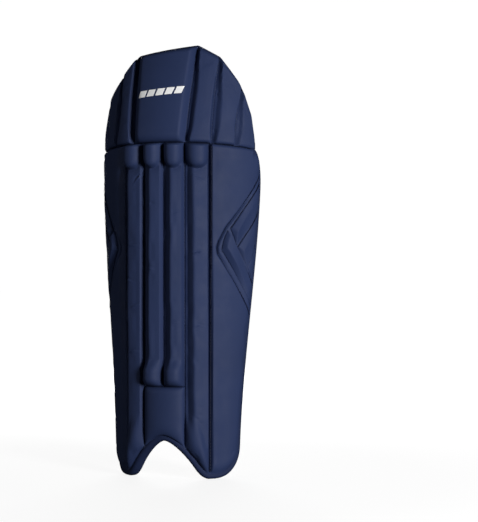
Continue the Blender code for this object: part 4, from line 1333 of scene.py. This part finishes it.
def build_strap(name, height, tape, ring_finish, hooks, loops, thread):
    low, high = height - STRAP_WIDTH / 2.0, height + STRAP_WIDTH / 2.0
    outer_bar, inner_bar, bar_y = strap_places(height)
    start = inner_bar + EYE_TAIL
    start_y = bar_y - (STRAP_THICKNESS + EYE_TAIL_GAP) / 2.0
    stack = STRAP_THICKNESS + 2.0 * PATCH_THICKNESS + 3.0 * GAP
    stub_x, stub_y = wing_tip(1.0, high, BINDING_BACK)
    end = stub_x - STRAP_END_MARGIN
    lap = end - LAP_LENGTH

    def beside(first, last, offset, steps):
        """A line along the strap: a shallow bow round the calf, which ends on top of the stub."""
        line = []
        for x in np.linspace(first, last, steps + 1):
            t = (x - start) / (end - start)
            line.append((x, mix(start_y, stub_y + stack, t) + STRAP_BOW * 4.0 * t * (1.0 - t) + offset))
        return line

    def sewn(line, side):
        """The line, with its end taken round the pad's side edge."""
        return lambda z: line + [wing_tip(side, z, front) for front in (BINDING_BACK, SEWN_TO_FRONT)]

    def taped(node, body, path, wave=0.0):
        made = band(f"{node}_tape", path, STRAP_THICKNESS, low, high, tape, wave=wave)
        attach(made, body, "webbing", node)

    taped(f"strap_anchor_{name}", "shin", sewn(eye(outer_bar, bar_y, -1.0), -1.0))
    route = eye(inner_bar, bar_y, 1.0) + beside(start, end, 0.0, 40)[1:]
    taped(f"strap_{name}", f"strap_{name}", lambda _: route, STRAP_WAVE)
    under = -(STRAP_THICKNESS + PATCH_THICKNESS) / 2.0 - GAP
    for piece, offset, finish, body in (
        ("hook", under, hooks, f"strap_{name}"),
        ("loop", under - PATCH_THICKNESS - GAP, loops, "shin"),
    ):
        line = beside(lap, end - PATCH_INSET, offset, 8)
        ends = (low + PATCH_INSET, high - PATCH_INSET)
        made = band(f"{piece}_pad_{name}", lambda _: line, PATCH_THICKNESS, *ends, finish, 0.0003)
        attach(made, body, piece, f"{piece}_patch_{name}")
    stub = beside(lap - PATCH_INSET, end - PATCH_INSET, -stack, 8)
    taped(f"strap_stub_{name}", "shin", sewn(stub, 1.0))
    build_ring(name, (outer_bar + inner_bar) / 2.0, bar_y, height, ring_finish)
    at_eye, at_end = EYE_TAIL * 0.80, end - STRAP_HEM
    rows = (
        (f"strap_{name}", inner_bar + at_eye, bar_y + EYE_STITCH_FRONT),
        (f"strap_{name}", inner_bar + at_eye, bar_y + EYE_STITCH_BACK),
        ("shin", outer_bar - at_eye, bar_y + EYE_STITCH_BACK),
        (f"strap_{name}", at_end, beside(at_end, at_end, 0.0, 1)[0][1] + END_STITCH_BACK),
    )
    for k, (body, x, y) in enumerate(rows):
        ends = (low + STITCH_INSET, high - STITCH_INSET)
        stitches_up(f"strap_stitches_{name}_{k + 1}", body, x, y, *ends, thread)


def build_ring(name, x, y, z, finish):
    """A plastic loop of round section: two upright bars joined by bowed ends."""
    corner = []
    for turn in np.linspace(0.0, math.pi / 2.0, 9):
        reach = RING_HALF_WIDTH - RING_CORNER * (1.0 - math.cos(turn))
        corner.append((reach, RING_HALF_HEIGHT - RING_CORNER * (1.0 - math.sin(turn))))
    side = RING_HALF_WIDTH - RING_CORNER
    crown = []
    for k in (0.33, 0.66, 1.0):
        crown.append((side * (1.0 - k), RING_HALF_HEIGHT + RING_BOW * math.sin(math.pi / 2.0 * k)))
    top = corner + crown + [(-a, b) for a, b in reversed(corner + crown[:-1])]
    line = np.array(top + [(-a, -b) for a, b in top])
    line = evened_to(np.concatenate([line, line[:1]]), 97)[:-1]
    ahead = np.roll(line, -1, axis=0) - np.roll(line, 1, axis=0)
    ahead /= np.linalg.norm(ahead, axis=1, keepdims=True)
    out = np.stack([ahead[:, 1], -ahead[:, 0]], axis=1)
    sections = []
    for turn in np.linspace(0.0, 2.0 * math.pi, 16, endpoint=False):
        spot = line + out * (RING_WIRE * math.cos(turn))
        front = np.full(len(spot), y + RING_WIRE * math.sin(turn))
        sections.append(np.stack([x + spot[:, 0], front, z + spot[:, 1]], axis=1))
    made = swept(f"ring_{name}_moulding", np.stack(sections, axis=1), finish, closed=True)
    attach(made, f"ring_{name}", "ring_plastic", f"ring_{name}")


# ======== Thread ========


def thread_mesh(name, firsts, lasts, ups, radius, finish):
    """Short stitches from firsts to lasts, each a bowed piece of thread that dips in at both ends."""
    sides, stations = 5, np.array([0.0, 0.2, 0.5, 0.8, 1.0])
    points, faces = [], []
    for first, last, up in zip(firsts, lasts, ups):
        along = (last - first) / max(np.linalg.norm(last - first), 1e-9)
        cross = np.cross(along, up)
        cross /= max(np.linalg.norm(cross), 1e-9)
        base = len(points)
        for t in stations:
            arch = 4.0 * t * (1.0 - t)
            middle = mix(first, last, t) + up * radius * (arch * 1.2 - 0.7)
            size = radius * (0.45 + 0.55 * arch)
            for k in range(sides):
                turn = 2.0 * math.pi * k / sides
                points.append(middle + cross * size * math.cos(turn) + up * size * math.sin(turn))
        for i in range(len(stations) - 1):
            for k in range(sides):
                a, b = base + i * sides + k, base + i * sides + (k + 1) % sides
                faces.append((a, b, b + sides, a + sides))
        faces.append(tuple(base + k for k in reversed(range(sides))))
        faces.append(tuple(base + (len(stations) - 1) * sides + k for k in range(sides)))
    return mesh_object(name, np.array(points), faces, finish, crease=80.0)


def stitches_on(name, attached, skin, columns, rows, finish, radius=0.00032, length=0.0034, gap=0.0012):
    """Stitches along a line of a skin's columns and rows. attached is the body and the slot."""
    path = skin.at(columns, rows, STITCH_LIFT)
    ups = (skin.at(columns, rows, STITCH_LIFT + 0.001) - path) / 0.001
    lengths = lengths_along(path)
    starts = np.arange(0.0, lengths[-1] - length, length + gap)
    firsts, lasts = at_lengths(path, lengths, starts), at_lengths(path, lengths, starts + length)
    ups = at_lengths(ups, lengths, starts + length / 2.0)
    attach(thread_mesh(name, firsts, lasts, ups, radius, finish), *attached)


def stitches_up(name, body, x, y, low, high, finish):
    """An upright row of stitches on a strap."""
    pitch, length = 0.0030, 0.0024
    starts = np.arange(low, high - length, pitch)
    first = np.stack([np.full(len(starts), x), np.full(len(starts), y), starts], axis=1)
    last = first + np.array([0.0, 0.0, length])
    ups = np.tile(np.array([0.0, 1.0, 0.0]), (len(starts), 1))
    attach(thread_mesh(name, first, last, ups, 0.00035, finish), body, "webbing")


def build_stitching(face, knee, knee_lining, dark, pale):
    """Rows of stitches along the seams of the face, the flap and the flap's lining."""
    on_shin, on_flap = ("shin", "navy_binding"), ("knee_flap", "navy_cover")
    up = np.linspace(0.06, 2.99, 500)
    for hand, side in HANDS:
        for which, lane in (("outer", 1.0 + SEAM_STITCH_LANE), ("inner", INNER_LANE)):
            stitches_on(f"seam_stitches_{which}_{hand}", on_shin, face, side * lane, up, dark, 0.00045)
    foot = float(level_row(BOLSTER_FOOT))
    stitches_on("seam_stitches_centre", on_shin, face, 0.0, np.linspace(foot, 2.99, 400), dark)
    stitches_on("seam_stitches_instep", on_shin, face, np.linspace(-INNER_LANE, INNER_LANE, 120), foot, dark)
    for k, seam in enumerate(KNEE_SEAM_ANGLES):
        for hand, side in HANDS:
            up = np.linspace(0.03, 0.97, 120)
            stitches_on(f"knee_stitches_{k + 1}_{hand}", on_flap, knee, side * seam, up, dark)
            name, up = f"knee_lining_stitches_{k + 1}_{hand}", np.linspace(0.03, 0.95, 120)
            attached = ("knee_flap", "white_lining")
            stitches_on(name, attached, knee_lining, side * seam, up, pale, 0.0003, 0.0030, 0.0010)


# ======== Plain motifs in place of lettering ========


def blocks(name, body, skin, spots, wide, high, slant, finish, lift=0.0004):
    """Plain slanted blocks printed on a skin, each with its middle at (column, row)."""
    spread = np.linspace(-0.5, 0.5, MOTIF_LINES)
    s, t = np.meshgrid(spread, spread, indexing="ij")
    points, faces = [], []
    for above in (lift, lift * 0.3):
        for column, row in spots:
            net = skin.at(column + wide * s + slant * t, row + high * t, above)
            points.append(net.reshape(-1, 3))
    each = MOTIF_LINES * MOTIF_LINES
    for k in range(len(spots)):
        faces += closed_faces(MOTIF_LINES, MOTIF_LINES, k * each, len(spots) * each, skin.outward() < 0)
    attach(mesh_object(name, np.concatenate(points), faces, finish, crease=30.0), body, "white_lining")


def build_motifs(knee, knee_lining, centre, black, grey, white):
    """Blocks, squares and ruled patches where the photo has lettering and labels."""
    steps, sides = range(5), (-1.0, 1.0)
    small = [(-0.148 + 0.083 * k, 0.534 + 0.002 * k) for k in steps]
    large = [(-0.20 + 0.10 * k, 0.52) for k in steps]
    upright = [(0.0, 0.29 + 0.095 * k) for k in steps]
    patches = [(side * 0.73, 0.60) for side in sides]
    ruled = [(side * (0.65 + 0.04 * k), 0.60) for side in sides for k in steps]
    blocks("knee_motif", "knee_flap", knee, small, 0.065, 0.072, 0.020, white)
    blocks("knee_lining_motif", "knee_flap", knee_lining, large, 0.080, 0.175, -0.030, black)
    blocks("centre_motif", "shin", centre, upright, 0.62, 0.078, 0.0, black, 0.0007)
    blocks("knee_lining_patches", "knee_flap", knee_lining, patches, 0.22, 0.24, 0.0, black)
    blocks("knee_patch_lines", "knee_flap", knee_lining, ruled, 0.006, 0.22, 0.0, grey, 0.0008)


# ======== Putting it together ========


def build_stage():
    """A pale floor under a pale dome, a soft light to the right, a faint one to the left, and one behind."""
    scene = bpy.context.scene
    scene.view_settings.view_transform = "Standard"
    world = bpy.data.worlds.new("studio")
    world.use_nodes = True
    background = world.node_tree.nodes["Background"].inputs
    background["Color"].default_value = (0.96, 0.98, 1.0, 1.0)
    background["Strength"].default_value = 0.04
    scene.world = world

    def glowing(name, near):
        """A white finish that gives its own light, and a little less near the pad, like a soft shadow."""
        s = Shader(name)
        spot = s.node("ShaderNodeTexCoord").outputs["Object"]
        distance = s.node("ShaderNodeVectorMath", {0: spot}, operation="LENGTH").outputs["Value"]
        s.set(Base_Color=(0.16, 0.16, 0.16, 1.0), Emission_Color=(1.0, 1.0, 1.0, 1.0), Roughness=1.0)
        s.set(Specular_IOR_Level=0.0, Emission_Strength=s.between(distance, 0.4, 1.6, near, 1.0))
        return s.material

    bpy.ops.mesh.primitive_plane_add(size=26.0, location=(0.0, 0.0, -0.0005))
    floor = bpy.context.object
    floor.name = "floor"
    floor.data.materials.append(glowing("pale_floor", 0.86))
    bpy.ops.mesh.primitive_uv_sphere_add(radius=14.0, segments=48, ring_count=24)
    backdrop = bpy.context.object
    backdrop.name = "backdrop"
    backdrop.data.materials.append(glowing("pale_backdrop", 1.0))
    for thing in (floor, backdrop):
        thing.visible_diffuse = False
        thing.visible_glossy = False
        thing.visible_shadow = False

    def softbox(name, azimuth, height, distance, wide, tall, power):
        """A soft light that looks at the pad from an azimuth in degrees, 0 being straight in front."""
        data = bpy.data.lights.new(name, "AREA")
        data.shape, data.size, data.size_y, data.energy = "RECTANGLE", wide, tall, power
        light = bpy.data.objects.new(name, data)
        turn = math.radians(azimuth)
        light.location = (distance * math.sin(turn), -distance * math.cos(turn), height)
        aim = Vector((0.0, 0.0, 0.36)) - Vector(light.location)
        light.rotation_euler = aim.to_track_quat("-Z", "Y").to_euler()
        light.visible_camera = False
        scene.collection.objects.link(light)

    softbox("key", 54.0, 0.50, 2.3, 0.5, 0.8, 67.0)
    softbox("fill", -44.0, 0.9, 2.6, 1.6, 1.0, 9.0)
    softbox("back", 198.0, 0.95, 2.2, 1.6, 1.0, 58.0)


# ---- The camera: lens and sensor in millimetres, the picture's proportions, and the pad's place in it ----
VIEW_AZIMUTH = 17.0
LENS = 100.0
SENSOR = 36.0
FRAME_WIDE, FRAME_TALL = 478.0, 522.0
PAD_SHARE = 0.8275
PAD_MIDDLE_Y, PAD_MIDDLE_Z = -0.010, HEIGHT / 2.0 - 0.001
PAD_RIGHT_OF_MIDDLE = -0.1410


def build_camera():
    """The camera stands level with the pad's middle, 17 degrees to its +X side, and aims beside the pad."""
    data = bpy.data.cameras.new("camera")
    data.lens, data.sensor_width = LENS, SENSOR
    camera = bpy.data.objects.new("camera", data)
    bpy.context.scene.collection.objects.link(camera)
    turn = math.radians(VIEW_AZIMUTH)
    back = Vector((math.sin(turn), -math.cos(turn), 0.0))
    right = Vector((math.cos(turn), math.sin(turn), 0.0))
    view_height = HEIGHT / PAD_SHARE
    distance = view_height / 2.0 / (SENSOR / 2.0 / LENS)
    middle = Vector((0.0, PAD_MIDDLE_Y, PAD_MIDDLE_Z))
    aim = middle - right * (PAD_RIGHT_OF_MIDDLE * view_height * FRAME_WIDE / FRAME_TALL)
    camera.location = aim + back * distance
    camera.rotation_euler = (-back).to_track_quat("-Z", "Y").to_euler()
    bpy.context.scene.camera = camera


def dress_canes():
    """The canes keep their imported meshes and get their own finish."""
    cane = wood("split_cane")
    for name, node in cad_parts.items():
        if name.startswith("cane_"):
            node.data.materials.clear()
            node.data.materials.append(cane)


def main():
    navy = leather("navy_leather", (0.0150, 0.0260, 0.076), 0.68, 0.30, 0.08, (0.024, 0.036, 0.092), 0.20)
    hem = leather("navy_hem", (0.010, 0.017, 0.052), 0.70, 0.45, 0.10, None, 0.15)
    # Near-black navy for the strips of painted shade along the rib grooves.
    painted_groove_shade = leather("painted_groove_shade", (0.0035, 0.006, 0.020), 0.7, 0.2, 0.05, None, 0.1)
    white = leather("white_leather", (0.80, 0.785, 0.755), 0.50, 0.30, 0.03)
    beige = suede("beige_suede", (0.66, 0.625, 0.575))
    mesh = knitted("white_mesh", (0.76, 0.745, 0.71), 0.0060, 0.0033)
    coarse = knitted("coarse_mesh", (0.76, 0.745, 0.71), 0.0078, 0.0040)
    tape = webbing("striped_tape")
    ring = plastic("ring_plastic", (0.86, 0.85, 0.81))
    hooks = fibre("hook_bristle", (0.80, 0.79, 0.77), 1500.0, 0.9)
    loops = fibre("loop_pile", (0.78, 0.77, 0.74), 700.0, 1.0)
    dark_thread = fibre("dark_thread", (0.060, 0.070, 0.120), 2500.0, 0.5)
    pale_thread = fibre("pale_thread", (0.62, 0.58, 0.53), 2500.0, 0.5)
    white_thread = fibre("white_thread", (0.78, 0.77, 0.74), 2500.0, 0.5)
    black_print = leather("black_print", (0.012, 0.012, 0.013), 0.35, 0.2)
    grey_print = leather("grey_print", (0.22, 0.22, 0.22), 0.5, 0.2)
    white_print = leather("white_print", (0.80, 0.80, 0.80), 0.5, 0.2)

    face = build_shin_face(navy)
    build_ribs(face, navy, painted_groove_shade)
    build_hem(hem)
    knee = build_knee_face(navy)
    knee_lining = build_knee_lining(white)
    build_knee_binding(hem, white)
    build_gussets(hem, white)
    middle = build_lining(white, beige, mesh, coarse)
    for name, height in STRAPS:
        build_strap(name, height, tape, ring, hooks, loops, white_thread)
    build_stitching(face, knee, knee_lining, dark_thread, pale_thread)
    build_motifs(knee, knee_lining, middle, black_print, grey_print, white_print)
    dress_canes()
    build_boards(leather("board_sheet", (0.20, 0.20, 0.21), 0.5, 0.5))


build_camera()
main()
build_stage()
